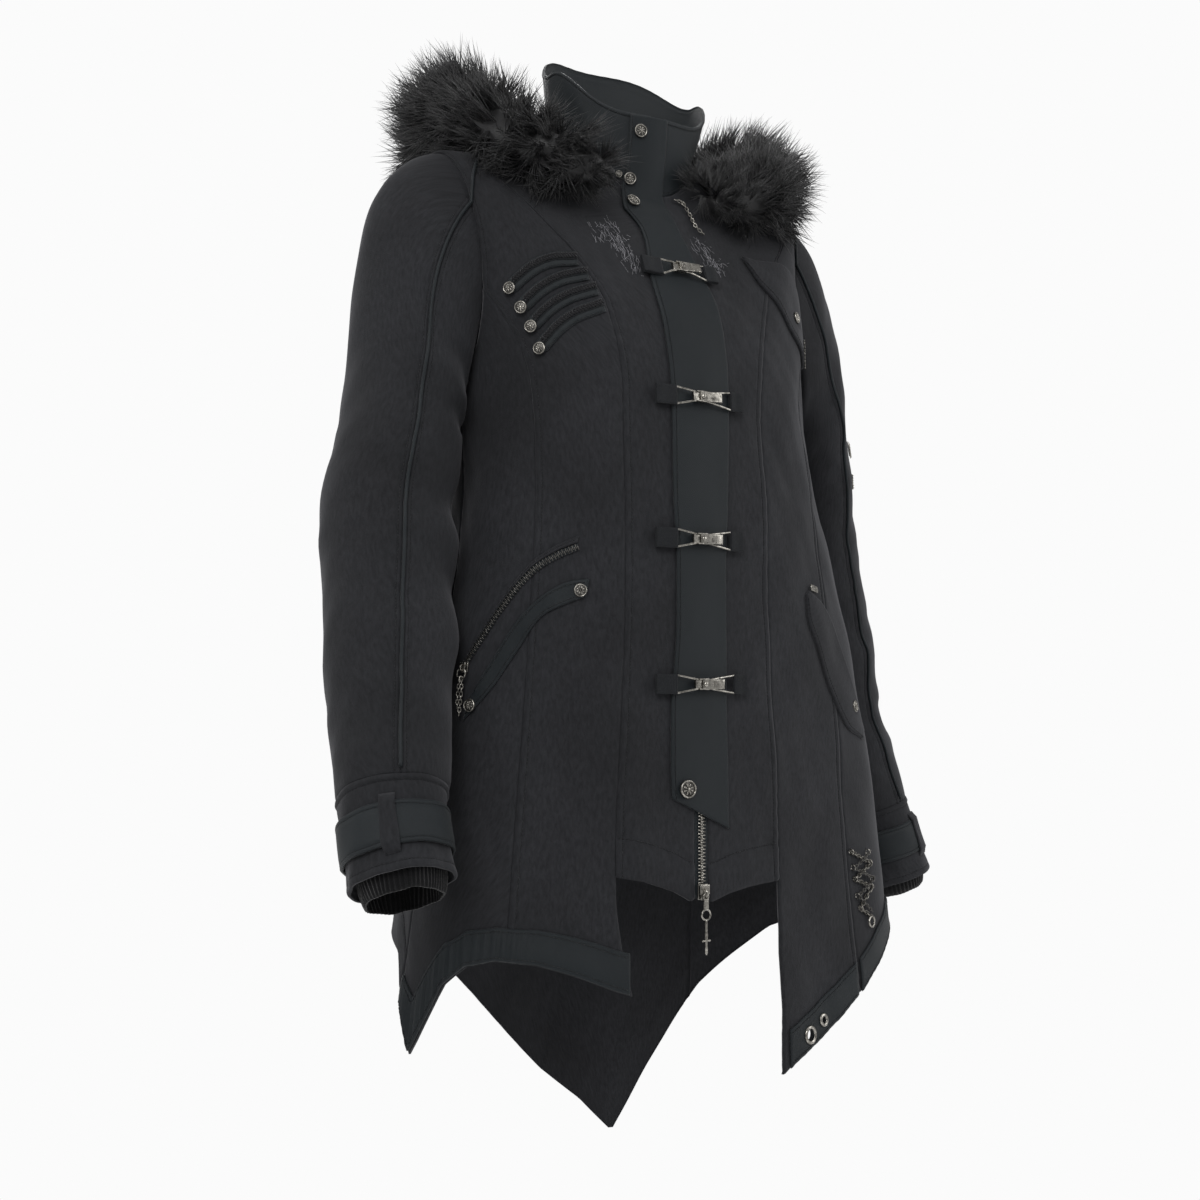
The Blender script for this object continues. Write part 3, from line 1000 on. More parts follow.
def dark_metal(name="dark_metal", low=(0.060, 0.057, 0.051), high=(0.33, 0.315, 0.285), roughness=0.27):
    """Aged silver: tarnish left in the low places, worn brighter elsewhere."""
    made, tree, shader = new_finish(name, roughness, 1.0)
    place = wire(tree, "ShaderNodeTexCoord").outputs
    stain = wire(tree, "ShaderNodeTexNoise", {"Scale": 260.0, "Detail": 6.0, "Roughness": 0.65},
                 Vector=place["Object"])
    fine = wire(tree, "ShaderNodeTexNoise", {"Scale": 1900.0, "Detail": 2.0}, Vector=place["Object"])
    share = wire(tree, "ShaderNodeMapRange", {1: 0.34, 2: 0.62}, _0=stain.outputs[0])
    tree.links.new(mixed(tree, low, high, share.outputs[0]), shader.inputs["Base Color"])
    rough = wire(tree, "ShaderNodeMapRange", {1: 0.3, 2: 0.7, 3: roughness + 0.20, 4: roughness - 0.12},
                 _0=stain.outputs[0])
    tree.links.new(rough.outputs[0], shader.inputs["Roughness"])
    bumped(tree, shader, [(stain.outputs[0], 0.0002, 0.25), (fine.outputs[0], 0.00006, 0.2)])
    return made


def tooth_shape():
    """One zip tooth: a block with a rounded head that reaches over the middle."""
    outline = [(-0.0040, 0.00060), (0.0004, 0.00060), (0.0010, 0.00030), (0.0010, -0.00030),
               (0.0004, -0.00060), (-0.0040, -0.00060)]
    rows = [(0.0, 1.0), (0.0010, 1.0), (0.0015, 0.72)]
    points = [(y * share, x * (0.9 + 0.1 * share), z) for z, share in rows for x, y in outline]
    count = len(outline)
    faces = [(i * count + k, i * count + (k + 1) % count, (i + 1) * count + (k + 1) % count,
              (i + 1) * count + k) for i in range(2) for k in range(count)]
    faces = [tuple(reversed(f)) for f in faces]
    faces += [tuple(range(count)), tuple(reversed(range(2 * count, 3 * count)))]
    return small_shape("zip_tooth", points, faces)


def teeth(name, spots, ahead, out, size=1.0, finish=None):
    """Two rows of teeth along a line, each half a step behind the other."""
    across = np.cross(out, ahead)
    which = np.arange(len(spots)) % 2 * 2 - 1
    add_row(name, TOOTH, spots + across * (which * 0.0003)[:, None], ahead * which[:, None], out,
            finish or METAL, size, 0.0)


METAL = dark_metal()
SHADE = dark_metal("deep_shade", (0.004, 0.004, 0.004), (0.010, 0.010, 0.010), 0.8)
TARNISH = dark_metal("tarnish", (0.030, 0.029, 0.027), (0.10, 0.096, 0.09), 0.5)
AGED = dark_metal("aged_metal", (0.030, 0.029, 0.026), (0.20, 0.19, 0.17), 0.34)
TOOTH = tooth_shape()
half = np.concatenate([zip_edge(NECK) + np.array([0, 0.25, 0.8, 1.6]), np.arange(9, 178.5, 2.6)])
angles = np.concatenate([half, [180.0], (360 - half)[::-1]])[None]
rim = COLLAR_TOP - np.array([0.0070, 0.0056, 0.0044, 0.0026, 0.0012, 0.0004, 0.0])
levels = np.concatenate([NECK + np.array([0, 0.0006, 0.0014, 0.0026, 0.0044, 0.0056, 0.0070]),
                         np.linspace(NECK + 0.0105, COLLAR_TOP - 0.0105, 14), rim])[:, None]
angles, levels = np.broadcast_arrays(angles, levels)
run = run_length(cloth(angles, levels), 1)
relief = seam_relief(levels - NECK, run, True) + seam_relief(COLLAR_TOP - levels, run, True) * 0.8
relief = relief + 0.0006 * np.sin(np.radians(angles) * 9 + levels * 60) * np.exp(-((levels - 0.155) / 0.02) ** 2)
outer = cloth(angles, levels, relief)
outer[0] += unit(outer[1] - outer[0]) * GAP
normal = outward(cloth_point, angles, levels)
add_sheet("collar_twill", outer, outer - normal * WALL, SMOOTH, "smooth_cloth", ["collar"])
for row in (4, len(levels) - 5):
    sew("trim", outer[row] + normal[row] * 0.0002, normal[row], 0.0028)

levels = np.arange(ZIP_LOW, ZIP_HIGH, 0.009)
reach = np.array([zip_edge(level) for level in levels])[:, None] * 0.93
share = np.array([-1.0, -0.97, -0.6, -0.42, -0.36, -0.12, 0.12, 0.36, 0.42, 0.6, 0.97, 1.0])[None]
angles = share * reach
levels = np.broadcast_to(levels[:, None], angles.shape)
cord = 0.0005 * np.exp(-((np.abs(share) - 0.40) / 0.06) ** 2) + 0 * angles
outer, inner = cloth(angles, levels, -0.0012 + cord), cloth(angles, levels, -0.0022)
add_sheet("zip_tape_front", outer, inner, SMOOTH, "dark_metal", ["front_zip"])
levels = np.arange(ZIP_LOW + 0.004, ZIP_HIGH - 0.003, TOOTH_STEP / 2)
spots = cloth(0 * levels, levels, -0.0010)
teeth("zip_teeth_front", spots, unit(np.gradient(spots, axis=0)), outward(cloth_point, 0 * levels, levels))

# ---- hood --------------------------------------------------------------------------------------
# The hood hangs folded open behind the neck: two curved halves that meet in a seam at the back
# of the head and roll outwards to the edge that carries the fur.
HOOD_COLUMNS = ("angle", "r0", "z0", "r1", "z1", "r2", "z2", "r3", "z3", "r4", "z4")
HOOD = [
    (50, 0.074, 0.027, 0.084, 0.014, 0.092, 0.002, 0.099, -0.008, 0.105, -0.016),
    (66, 0.077, 0.047, 0.094, 0.028, 0.108, 0.014, 0.121, 0.002, 0.132, -0.006),
    (84, 0.078, 0.061, 0.100, 0.034, 0.121, 0.018, 0.140, 0.008, 0.157, 0.002),
    (102, 0.078, 0.067, 0.104, 0.034, 0.131, 0.012, 0.156, 0.002, 0.176, -0.004),
    (122, 0.076, 0.070, 0.108, 0.036, 0.142, 0.000, 0.172, -0.010, 0.190, 0.012),
    (150, 0.074, 0.073, 0.106, 0.028, 0.128, -0.050, 0.168, -0.066, 0.202, 0.006),
    (180, 0.073, 0.074, 0.104, 0.024, 0.124, -0.072, 0.164, -0.092, 0.204, -0.002),
]


def around_neck(angle, radius, height):
    turn = np.radians(angle)
    return np.stack([radius * np.sin(turn), -radius * np.cos(turn), height + 0 * turn], -1)


def cloth_below():
    """Many places on the outside of body, collar and sleeve heads, with their normals."""
    angle, level = np.meshgrid(np.arange(-180, 180, 3.0), np.arange(-0.2, 0.2, 0.006))
    near = [cloth_point(angle, level).reshape(-1, 3)]
    out = [outward(cloth_point, angle, level).reshape(-1, 3)]
    turn, down = np.meshgrid(np.arange(-150, 151, 10.0), np.arange(0.002, 0.10, 0.008))
    for side in (-1, 1):
        near.append(sleeve_point(side, turn, down).reshape(-1, 3))
        out.append(sleeve_normal(side, turn, down).reshape(-1, 3))
    return np.concatenate(near), np.concatenate(out)


def clear_of(points, below, margin):
    """Moves points out wherever they are too near what is below them."""
    near, out = below
    moved = points.reshape(-1, 3).copy()
    for start in range(0, len(moved), 400):
        some = moved[start:start + 400]
        for _ in range(3):
            spot = ((near[None] - some[:, None]) ** 2).sum(-1).argmin(1)
            deep = margin - ((some - near[spot]) * out[spot]).sum(1)
            some += out[spot] * np.maximum(deep, 0)[:, None]
    return moved.reshape(points.shape)


BELOW = cloth_below()
angle = np.concatenate([50 + np.array([0, 0.4, 1.0]), np.arange(53, 177.5, 2.0),
                        180.0 - np.array([1.6, 1.0, 0.5, 0.2, 0.0])])
for side, tag in ((-1, "r"), (1, "l")):
    rows = []
    for share in np.concatenate([[0, 0.03, 0.08], np.linspace(0.16, 3.86, 42), [3.93, 3.97, 4]]):
        ring = [np.stack([read(HOOD, HOOD_COLUMNS, angle, "%s%d" % (kind, k)) for k in range(5)]) for kind in "rz"]
        low = min(3, int(share))
        ahead = share - low
        before, after = max(0, low - 1), min(4, low + 2)
        weights = (-0.5 * ahead + ahead**2 - 0.5 * ahead**3, 1 - 2.5 * ahead**2 + 1.5 * ahead**3,
                   0.5 * ahead + 2 * ahead**2 - 1.5 * ahead**3, -0.5 * ahead**2 + 0.5 * ahead**3)
        radius, height = (sum(w * grid[k] for w, k in zip(weights, (before, low, low + 1, after)))
                          for grid in ring)
        fold = 0.0035 * np.sin(np.radians(angle) * 7 + share * 1.9) + 0.0025 * np.sin(np.radians(angle) * 13 - share * 2.6)
        radius = radius + fold * np.clip(share / 1.2, 0, 1) * np.clip((4 - share) / 1.2, 0, 1)
        rows.append(around_neck(side * angle, radius, height))
    inner = clear_of(np.array(rows), BELOW, 0.0030)
    if side < 0:
        inner = inner[:, ::-1]
    normal = unit(np.cross(np.gradient(inner, axis=1), np.gradient(inner, axis=0)))
    add_sheet("hood_half_" + tag, inner + normal * WALL, inner, NAPPED, "napped_cloth", ["hood_" + tag])
    column = 3 if side < 0 else -4
    sew("panels", (inner + normal * (WALL + 0.0002))[:, column], normal[:, column])

# ---- fur trim ----------------------------------------------------------------------------------
# Long-pile fur on the open edge of the hood. Locks of tapered hairs grow from a soft backing,
# fall outwards and down, and part into tips.
FUR_COLUMNS = ("angle", "radius_right", "radius_left", "height", "thick")
FUR = [
    (35, 0.099, 0.103, -0.014, 0.015),
    (41, 0.108, 0.112, -0.010, 0.031),
    (54, 0.126, 0.130, -0.002, 0.041),
    (70, 0.145, 0.150, 0.016, 0.045),
    (88, 0.156, 0.165, 0.050, 0.045),
    (106, 0.164, 0.174, 0.077, 0.044),
    (126, 0.182, 0.186, 0.078, 0.043),
    (152, 0.198, 0.198, 0.058, 0.041),
    (180, 0.204, 0.204, 0.046, 0.040),
]
FUR_BACKING = 0.45  # share of the trim's thickness that is backing
FUR_LOCKS = 2050  # on each of the three pieces
FUR_HAIRS = 6
FUR_BACK = 0.256  # how far behind the middle its longest hairs reach
FUR_DROP = 0.013  # how far it hangs over the edge of the hood at the back
FUR_LENGTH = 0.040
CLUMP_ANGLE, CLUMP_TURN = 4.2, 0.70  # how far apart the tips of the locks are


def fur_finish():
    made, tree, shader = new_finish("fur", 0.50, 0, 0.08, 0.35)
    shader.inputs["Specular IOR Level"].default_value = 0.35
    place = wire(tree, "ShaderNodeTexCoord").outputs
    lock = wire(tree, "ShaderNodeTexNoise", {"Scale": 75.0, "Detail": 3.0}, Vector=place["Object"])
    hair = wire(tree, "ShaderNodeTexNoise", {"Scale": 900.0, "Detail": 2.0}, Vector=place["Object"])
    share = wire(tree, "ShaderNodeMath", {"operation": "MULTIPLY"}, _0=lock.outputs[0], _1=hair.outputs[0])
    spread = wire(tree, "ShaderNodeMapRange", {1: 0.15, 2: 0.42}, _0=share.outputs[0])
    tree.links.new(mixed(tree, (0.0014, 0.0014, 0.0017), (0.0150, 0.0147, 0.0155), spread.outputs[0]),
                   shader.inputs["Base Color"])
    bumped(tree, shader, [(hair.outputs[0], 0.0002, 0.3)])
    return made


def fur_lock():
    """A lock of a few tapered hairs that part towards their tips, growing along +X."""
    rng = np.random.default_rng(5)
    points, faces = [], []
    for hair in range(FUR_HAIRS):
        start = rng.uniform(-0.0022, 0.0022, 2)
        spread = start * 1.2 + rng.uniform(-0.0060, 0.0060, 2)
        long, curl = FUR_LENGTH * rng.uniform(0.58, 1.05), rng.uniform(-0.013, 0.005)
        for share, width in ((0, 0.00046), (0.55, 0.00040)):
            middle = np.array([long * share, start[0] + spread[0] * share**1.4,
                               start[1] * 0.4 + spread[1] * share**1.4 * 0.6 + curl * share**2])
            for turn in np.radians([90, 210, 330]):
                points.append(middle + (0, width * math.cos(turn), width * math.sin(turn)))
        points.append(np.array([long, start[0] + spread[0] * 1.1, start[1] * 0.4 + spread[1] * 0.6 + curl]))
        base = hair * 7
        for k in range(3):
            ahead = (k + 1) % 3
            faces.append((base + k, base + ahead, base + 3 + ahead, base + 3 + k))
            faces.append((base + 3 + k, base + 3 + ahead, base + 6))
    return small_shape("fur_lock", points, faces)


def fur_line(angle):
    """Middle and thickness of the trim at angles from 36 to 324."""
    bend = np.abs((angle + 180) % 360 - 180)
    left = (angle % 360) < 180
    radius = np.where(left, read(FUR, FUR_COLUMNS, bend, "radius_left"), read(FUR, FUR_COLUMNS, bend, "radius_right"))
    return (around_neck(angle, radius, read(FUR, FUR_COLUMNS, bend, "height")),
            read(FUR, FUR_COLUMNS, bend, "thick"))


FUR_FINISH = fur_finish()
LOCK = fur_lock()
angle = np.linspace(36, 324, 120)
path, thick = fur_line(angle)
sides = 20
points, faces = tube(path, thick * FUR_BACKING, sides)
points = points.reshape(len(path), sides, 3)
i, j = np.meshgrid(np.arange(len(path)), np.arange(sides), indexing="ij")
lump = 1 + 0.10 * np.sin(0.9 * i + 1.1 * j) + 0.07 * np.sin(0.5 * i - 1.7 * j + 1)
points = path[:, None] + (points - path[:, None]) * lump[..., None]
behind = np.clip((np.minimum(angle, 360 - angle) - 62) / 25, 0, 1)[:, None]
low = np.clip((path[:, None] - points)[..., 2] / (thick * FUR_BACKING)[:, None], 0, 1)
points[..., 2] -= low * behind * FUR_DROP
points = clear_of(points, BELOW, 0.0085)
backing = add_mesh("fur_backing", points.reshape(-1, 3), faces, FUR_FINISH, "jacket", ["hood_fur_trim"])
rng = np.random.default_rng(11)
for part, (low, high) in (("left", (31.0, 140.0)), ("back", (132.0, 228.0)), ("right", (220.0, 321.0))):
    angle = rng.uniform(low, high, FUR_LOCKS)
    turn = rng.uniform(0, 2 * math.pi, FUR_LOCKS)
    shift = 0.5 * np.sin(turn * 3 + angle * 0.7)
    clump_angle = (np.floor(angle / CLUMP_ANGLE + shift) - shift + 0.5) * CLUMP_ANGLE
    clump_turn = (np.floor(turn / CLUMP_TURN) + 0.5) * CLUMP_TURN

    def growing(angle, turn):
        """Where a lock roots on the trim, and the way it grows from there."""
        path, thick = fur_line(angle)
        ahead = unit(fur_line(angle + 0.5)[0] - fur_line(angle - 0.5)[0])
        away = unit(path - np.array([0.0, 0.0, 0.02]))
        away = unit(away - ahead * (away * ahead).sum(1, keepdims=True))
        over = np.cross(ahead, away)
        skin = np.cos(turn)[:, None] * away + np.sin(turn)[:, None] * over
        wave = np.sin(angle * 0.42 + turn)[:, None] * ahead * 0.55
        wave = wave + np.sin(angle * 0.97 + turn * 2)[:, None] * over * 0.35
        drop = np.clip(-skin[:, 2], 0, 1) * np.clip((np.minimum(angle, 360 - angle) - 62) / 25, 0, 1)
        rise = np.where(angle < 100, 0.34, np.where(angle > 285, -0.20, 0.24)) - 1.1 * drop
        outer = np.where(angle < 80, 0.16, np.where(np.abs(angle - 180) < 50, 0.34, 0.50))
        sweep = away * outer[:, None] + rise[:, None] * np.array([0.0, 0.0, 1.0]) + wave
        root = path + skin * (thick * FUR_BACKING * 0.86)[:, None]
        root[:, 2] -= drop * FUR_DROP
        inward = np.clip((56 - angle) / 12, 0, 1) * (0.5 - 0.5 * np.cos(turn))
        root += inward[:, None] * (-0.022 * away + np.array([0.0, 0.0, 0.012]))
        return root, unit(skin * 0.66 + sweep * 0.7), skin

    roots, grow, skin = growing(angle, turn)
    centres, clump_grow, _ = growing(np.clip(clump_angle, low, high), clump_turn)
    tips = centres + clump_grow * FUR_LENGTH
    grow = unit(unit(tips - roots) * 0.62 + grow * 0.38 + rng.normal(0, 0.11, (FUR_LOCKS, 3)))
    roots = clear_of(roots, BELOW, 0.0065)
    grow = unit(clear_of(roots + grow * FUR_LENGTH * 0.95, BELOW, 0.0030) - roots)
    reach = roots[:, 1] + grow[:, 1] * FUR_LENGTH * 1.4
    roots[:, 1] -= np.maximum(reach - FUR_BACK, 0)
    ends = (angle < 50) | (angle > 308)
    for tag, some, size in (("", ~ends, 1.0), ("_end", ends, 0.62)):
        if some.any():
            add_row("fur_" + part + tag, LOCK, roots[some], grow[some], skin[some], FUR_FINISH, size, 0.34)

# ---- placket and snaps -------------------------------------------------------------------------
# The storm flap of smooth twill over the zip: an S-curved front edge, topstitched, a narrow band
# set on along its other edge, and snaps with a raised ring and spokes.
PLACKET_LEFT = [
    (-0.566, -13.5), (-0.536, -14.0), (-0.484, -14.0), (-0.456, -13.0), (-0.414, -12.0),
    (-0.361, -12.0), (-0.309, -13.0), (-0.216, -12.5), (-0.113, -13.5), (0.019, -16.5),
    (0.036, -16.5), (0.055, -18.0), (0.066, -21.0), (0.080, -29.0), (0.106, -30.0),
    (0.125, -27.0), (0.160, -24.0), (0.200, -23.0),
]
PLACKET_RIGHT = [
    (-0.594, 12.5), (-0.538, 11.5), (-0.448, 10.5), (-0.358, 10.0), (-0.305, 11.5),
    (-0.210, 14.5), (-0.097, 17.0), (-0.037, 18.0), (0.030, 14.0), (0.070, 11.0),
    (0.110, 8.5), (0.160, 7.5), (0.200, 7.5),
]
SNAP_RADIUS = 0.0060


def resample(places, count):
    """The line of places as count points, evenly spaced on the cloth."""
    places = np.asarray(places, float)
    spots = cloth(places[:, 0], places[:, 1])
    run = np.concatenate([[0], np.cumsum(np.linalg.norm(np.diff(spots, axis=0), axis=1))])
    at = np.linspace(0, run[-1], count)
    return np.stack([smooth_value(at, run, places[:, k]) for k in (0, 1)], -1)


def frame_at(angle, level, lift):
    """Origin, direction round the body, upward direction and outward normal at a place."""
    origin = cloth(angle, level, lift)
    out = outward(cloth_point, np.float64(angle), np.float64(level))
    around = unit(cloth(angle + 0.5, level) - cloth(angle - 0.5, level))
    return origin, around, np.cross(out, around), out


def turned(profile, sides, ripple=0.0, petals=8):
    """A closed turned body from rows of radius, height and share of the ripple."""
    points, faces = [], []
    for radius, height, share in profile:
        for k in range(sides):
            turn = 2 * math.pi * k / sides
            points.append((radius * math.cos(turn), radius * math.sin(turn),
                           height + ripple * share * math.cos(petals * turn)))
    for i in range(len(profile) - 1):
        for k in range(sides):
            a, b = i * sides + k, i * sides + (k + 1) % sides
            faces.append((a, b, b + sides, a + sides))
    faces.append(tuple(reversed(range(sides))))
    faces.append(tuple(range((len(profile) - 1) * sides, len(profile) * sides)))
    return np.array(points), faces


def joined(bodies):
    """Points and faces of several bodies as one."""
    points, faces, count = [], [], 0
    for some, loops in bodies:
        points.append(np.asarray(some, float))
        faces += [tuple(k + count for k in loop) for loop in loops]
        count += len(some)
    return np.concatenate(points), faces


def add_snap(name, place, lift, radius=SNAP_RADIUS, nodes=(), frame_found=None):
    """A snap cap: a raised rim, spokes and a boss over a darker ground."""
    axes = frame_found or frame_at(place[0], place[1], lift)
    origin, around, upward, out = axes
    ground = turned([(radius * r, radius * h, 0) for r, h in ((0.90, 0), (0.99, 0.04), (0.99, 0.20), (0.80, 0.26),
                                                               (0.50, 0.32), (0.05, 0.35))], 32)
    rim = [(0.99, 0.16), (1.02, 0.26), (0.99, 0.36), (0.91, 0.41), (0.83, 0.38), (0.80, 0.28), (0.80, 0.20)]
    count = len(rim)
    points = [(radius * r * math.cos(a), radius * r * math.sin(a), radius * h) for r, h in rim
              for a in np.linspace(0, 2 * math.pi, 32, endpoint=False)]
    faces = [(i * 32 + k, i * 32 + (k + 1) % 32, (i + 1) % count * 32 + (k + 1) % 32, (i + 1) % count * 32 + k)
             for i in range(count) for k in range(32)]
    bodies = [(np.array(points), faces)]
    for turn in np.linspace(0, 2 * math.pi, 8, endpoint=False) + 0.39:
        way = np.array([math.cos(turn), math.sin(turn), 0.0])
        spoke = [way * radius * r + (0, 0, radius * h) for r, h in ((0.16, 0.34), (0.30, 0.36), (0.52, 0.35), (0.74, 0.28))]
        bodies.append(tube(spoke, np.array([0.04, 0.085, 0.11, 0.05]) * radius, 8))
    bodies.append(turned([(radius * r, radius * h, 0) for r, h in ((0.17, 0.24), (0.17, 0.42), (0.12, 0.46), (0.02, 0.47))], 16))
    for tag, (points, faces), finish, stands_for in (("", joined(bodies), METAL, nodes), ("_ground", ground, TARNISH, ())):
        world = origin + points[:, :1] * around + points[:, 1:2] * upward + points[:, 2:] * out
        add_mesh(name + tag, world, faces, finish, "jacket", stands_for)


def edge_shares(width, near=(0.0, 0.0004, 0.0011, 0.0022, 0.0034), step=0.005):
    """Columns across a strip, close together at both of its edges."""
    near = np.minimum(np.array(near) / width, 0.42)
    count = max(2, int(width / step))
    middle = np.linspace(near[-1], 1 - near[-1], count + 1)
    return np.concatenate([near[:-1], middle, (1 - near)[::-1][1:]])


def laid_sheet(name, low_line, high_line, lift, thick, finish, slot, nodes=(), stitched=(0.0034, 0.0034),
               relief=None, held="laid", rests_on=()):
    """A piece between two lines of places, its first and last rows and columns turned under;
    a line of stitches runs inside each edge at the stated distance."""
    count = len(low_line)
    width = np.linalg.norm(cloth(high_line[:, 0], high_line[:, 1]) - cloth(low_line[:, 0], low_line[:, 1]), axis=1)
    share = edge_shares(max(np.median(width), 0.004))
    places = low_line[None] * (1 - share[:, None, None]) + high_line[None] * share[:, None, None]
    middle = np.linalg.norm(np.diff(cloth(places[len(share) // 2, :, 0], places[len(share) // 2, :, 1]), axis=0), axis=1)
    run = np.concatenate([[0], np.cumsum(middle)])[None]
    across = share[:, None] * width[None]
    out = lift + thick + 0 * across
    out = out - 0.42 * thick * np.exp(-(across / 0.0006) ** 2) - 0.42 * thick * np.exp(-((width[None] - across) / 0.0006) ** 2)
    ends = np.minimum(run, run[:, -1:] - run)
    out = out - 0.35 * thick * np.exp(-(ends / 0.0006) ** 2)
    for inside, distance in zip(stitched, (across, width[None] - across)):
        if inside:
            out = out - 0.00035 * np.exp(-((distance - inside) / 0.0006) ** 2)
            out = out + 0.00018 * np.sin(run * 2 * math.pi / 0.009) * np.exp(-(distance / 0.005) ** 2)
    if relief is not None:
        out = out + relief(across, run, width[None])
    outer, inner = cloth(places[..., 0], places[..., 1], out), cloth(places[..., 0], places[..., 1], lift)
    first, last = cloth(*places[0, 0]), cloth(*places[0, -1])
    around = cloth(places[0, 0, 0] + 0.5, places[0, 0, 1]) - first
    normal = outward(cloth_point, places[..., 0], places[..., 1])
    for inside, distance in zip(stitched, (across, width[None] - across)):
        if inside:
            row = np.abs(distance - inside).mean(1).argmin()
            sew("trim", outer[row, 1:-1] + normal[row, 1:-1] * 0.0002, normal[row, 1:-1], 0.0028)
    if np.dot(last - first, around) < 0:
        outer, inner = outer[:, ::-1], inner[:, ::-1]
    if np.dot(np.cross(outer[0, 1] - outer[0, 0], outer[1, 0] - outer[0, 0]), normal[0, 0]) < 0:
        outer, inner = outer[::-1], inner[::-1]
    return add_sheet(name, outer, inner, finish, slot, nodes, held=held, rests_on=rests_on)


levels = np.concatenate([[-0.5660, -0.5655, -0.5640], np.arange(-0.561, -0.540, 0.005), np.arange(-0.535, 0.1935, 0.006),
                         [0.1950, 0.1970, 0.1978, 0.1980]])
left = np.stack([seam(PLACKET_LEFT, levels), levels], -1)
right = np.stack([seam(PLACKET_RIGHT, levels), levels], -1)
slant = np.clip((-0.535 - levels) / 0.031, 0, 1)
right[:, 1] -= slant * 0.028


def placket_relief(across, run, width):
    band = width - across
    out = -0.0007 * np.exp(-((band - 0.0056) / 0.0006) ** 2) + 0.0003 / (1 + np.exp((band - 0.0056) / 0.0003))
    crown = 0.0006 * np.sin(np.clip(across / width, 0, 1) * math.pi)
    return out + crown + 0.0003 * np.sin(run * 46) * np.sin(across * 120)


laid_sheet("placket_twill", right, left, GAP + 0.0005, 0.0020, SMOOTH, "smooth_cloth", ["placket"],
           (None, 0.0048), lambda across, run, width: placket_relief(width - across, run, width),
           rests_on=["front_centre_r_cloth", "front_centre_l_cloth"])
top = GAP + 0.0031
add_snap("snap_collar_cap", (-15.5, 0.181), top, nodes=["snap_collar"])
add_snap("snap_neck_upper_cap", (-23.0, 0.126), top + 0.0010, 0.0056, ["snap_neck_upper"])
add_snap("snap_neck_lower_cap", (-22.5, 0.092), top + 0.0004, 0.0064, ["snap_neck_lower"])
add_snap("snap_placket_end_cap", (-7.5, -0.558), top, 0.0078, ["snap_placket_end"])

# ---- clasps ------------------------------------------------------------------------------------
# Four metal clasps hold the placket shut. Each has a webbing tab folded round a bent wire on
# either side, and a hook with a riveted lever between the wires.
CLASPS = [  # level of each clasp, angle of its left and right end, height over the cloth
    (0.002, -21.5, 23.0, 0.0040), (-0.212, -20.0, 19.5, 0.0037), (-0.342, -21.0, 16.5, 0.0034),
    (-0.468, -21.0, 18.5, 0.0037),
]
TAB_HALF = 0.0085
TAB_THICK = 0.0034


def webbing_finish():
    made, tree, shader = new_finish("webbing", 0.78, 0, 0.06, 0.4)
    place = wire(tree, "ShaderNodeTexCoord").outputs
    ribs = wire(tree, "ShaderNodeTexWave", {"Scale": 420.0, "Distortion": 0.6}, Vector=place["Object"])
    yarn = wire(tree, "ShaderNodeTexVoronoi", {"Scale": 1100.0}, Vector=place["Object"])
    tree.links.new(mixed(tree, (0.0030, 0.0034, 0.0042), (0.0105, 0.0115, 0.0130), yarn.outputs[0]),
                   shader.inputs["Base Color"])
    bumped(tree, shader, [(ribs.outputs[1], 0.0003, 0.4), (yarn.outputs[0], 0.0003, 0.4)])
    return made


def block(size, middle, axes, bevel, taper=1.0, segments=3):
    """A block with rounded edges; taper narrows its far end."""
    mesh = bmesh.new()
    bmesh.ops.create_cube(mesh, size=1.0)
    for vert in mesh.verts:
        vert.co.y *= taper if vert.co.x > 0 else 1.0
        for k in range(3):
            vert.co[k] *= size[k]
    bmesh.ops.bevel(mesh, geom=list(mesh.edges), offset=bevel, segments=segments, affect="EDGES", profile=0.6)
    points = np.array([vert.co[:] for vert in mesh.verts])
    faces = [tuple(vert.index for vert in face.verts) for face in mesh.faces]
    mesh.free()
    return middle + points @ np.array(axes), faces


def rounded_path(corners, radius, steps=4, closed=False):
    """A path through corners, each turned on an arc-like curve."""
    corners = np.asarray(corners, float)
    count = len(corners)
    path = []
    for i in range(count):
        if not closed and i in (0, count - 1):
            path.append(corners[i])
            continue
        before, after = corners[i - 1] - corners[i], corners[(i + 1) % count] - corners[i]
        near = min(radius, 0.45 * np.linalg.norm(before), 0.45 * np.linalg.norm(after))
        start, end = corners[i] + unit(before) * near, corners[i] + unit(after) * near
        for share in np.linspace(0, 1, steps + 1):
            path.append(start * (1 - share) ** 2 + corners[i] * 2 * share * (1 - share) + end * share**2)
    return np.array(path)


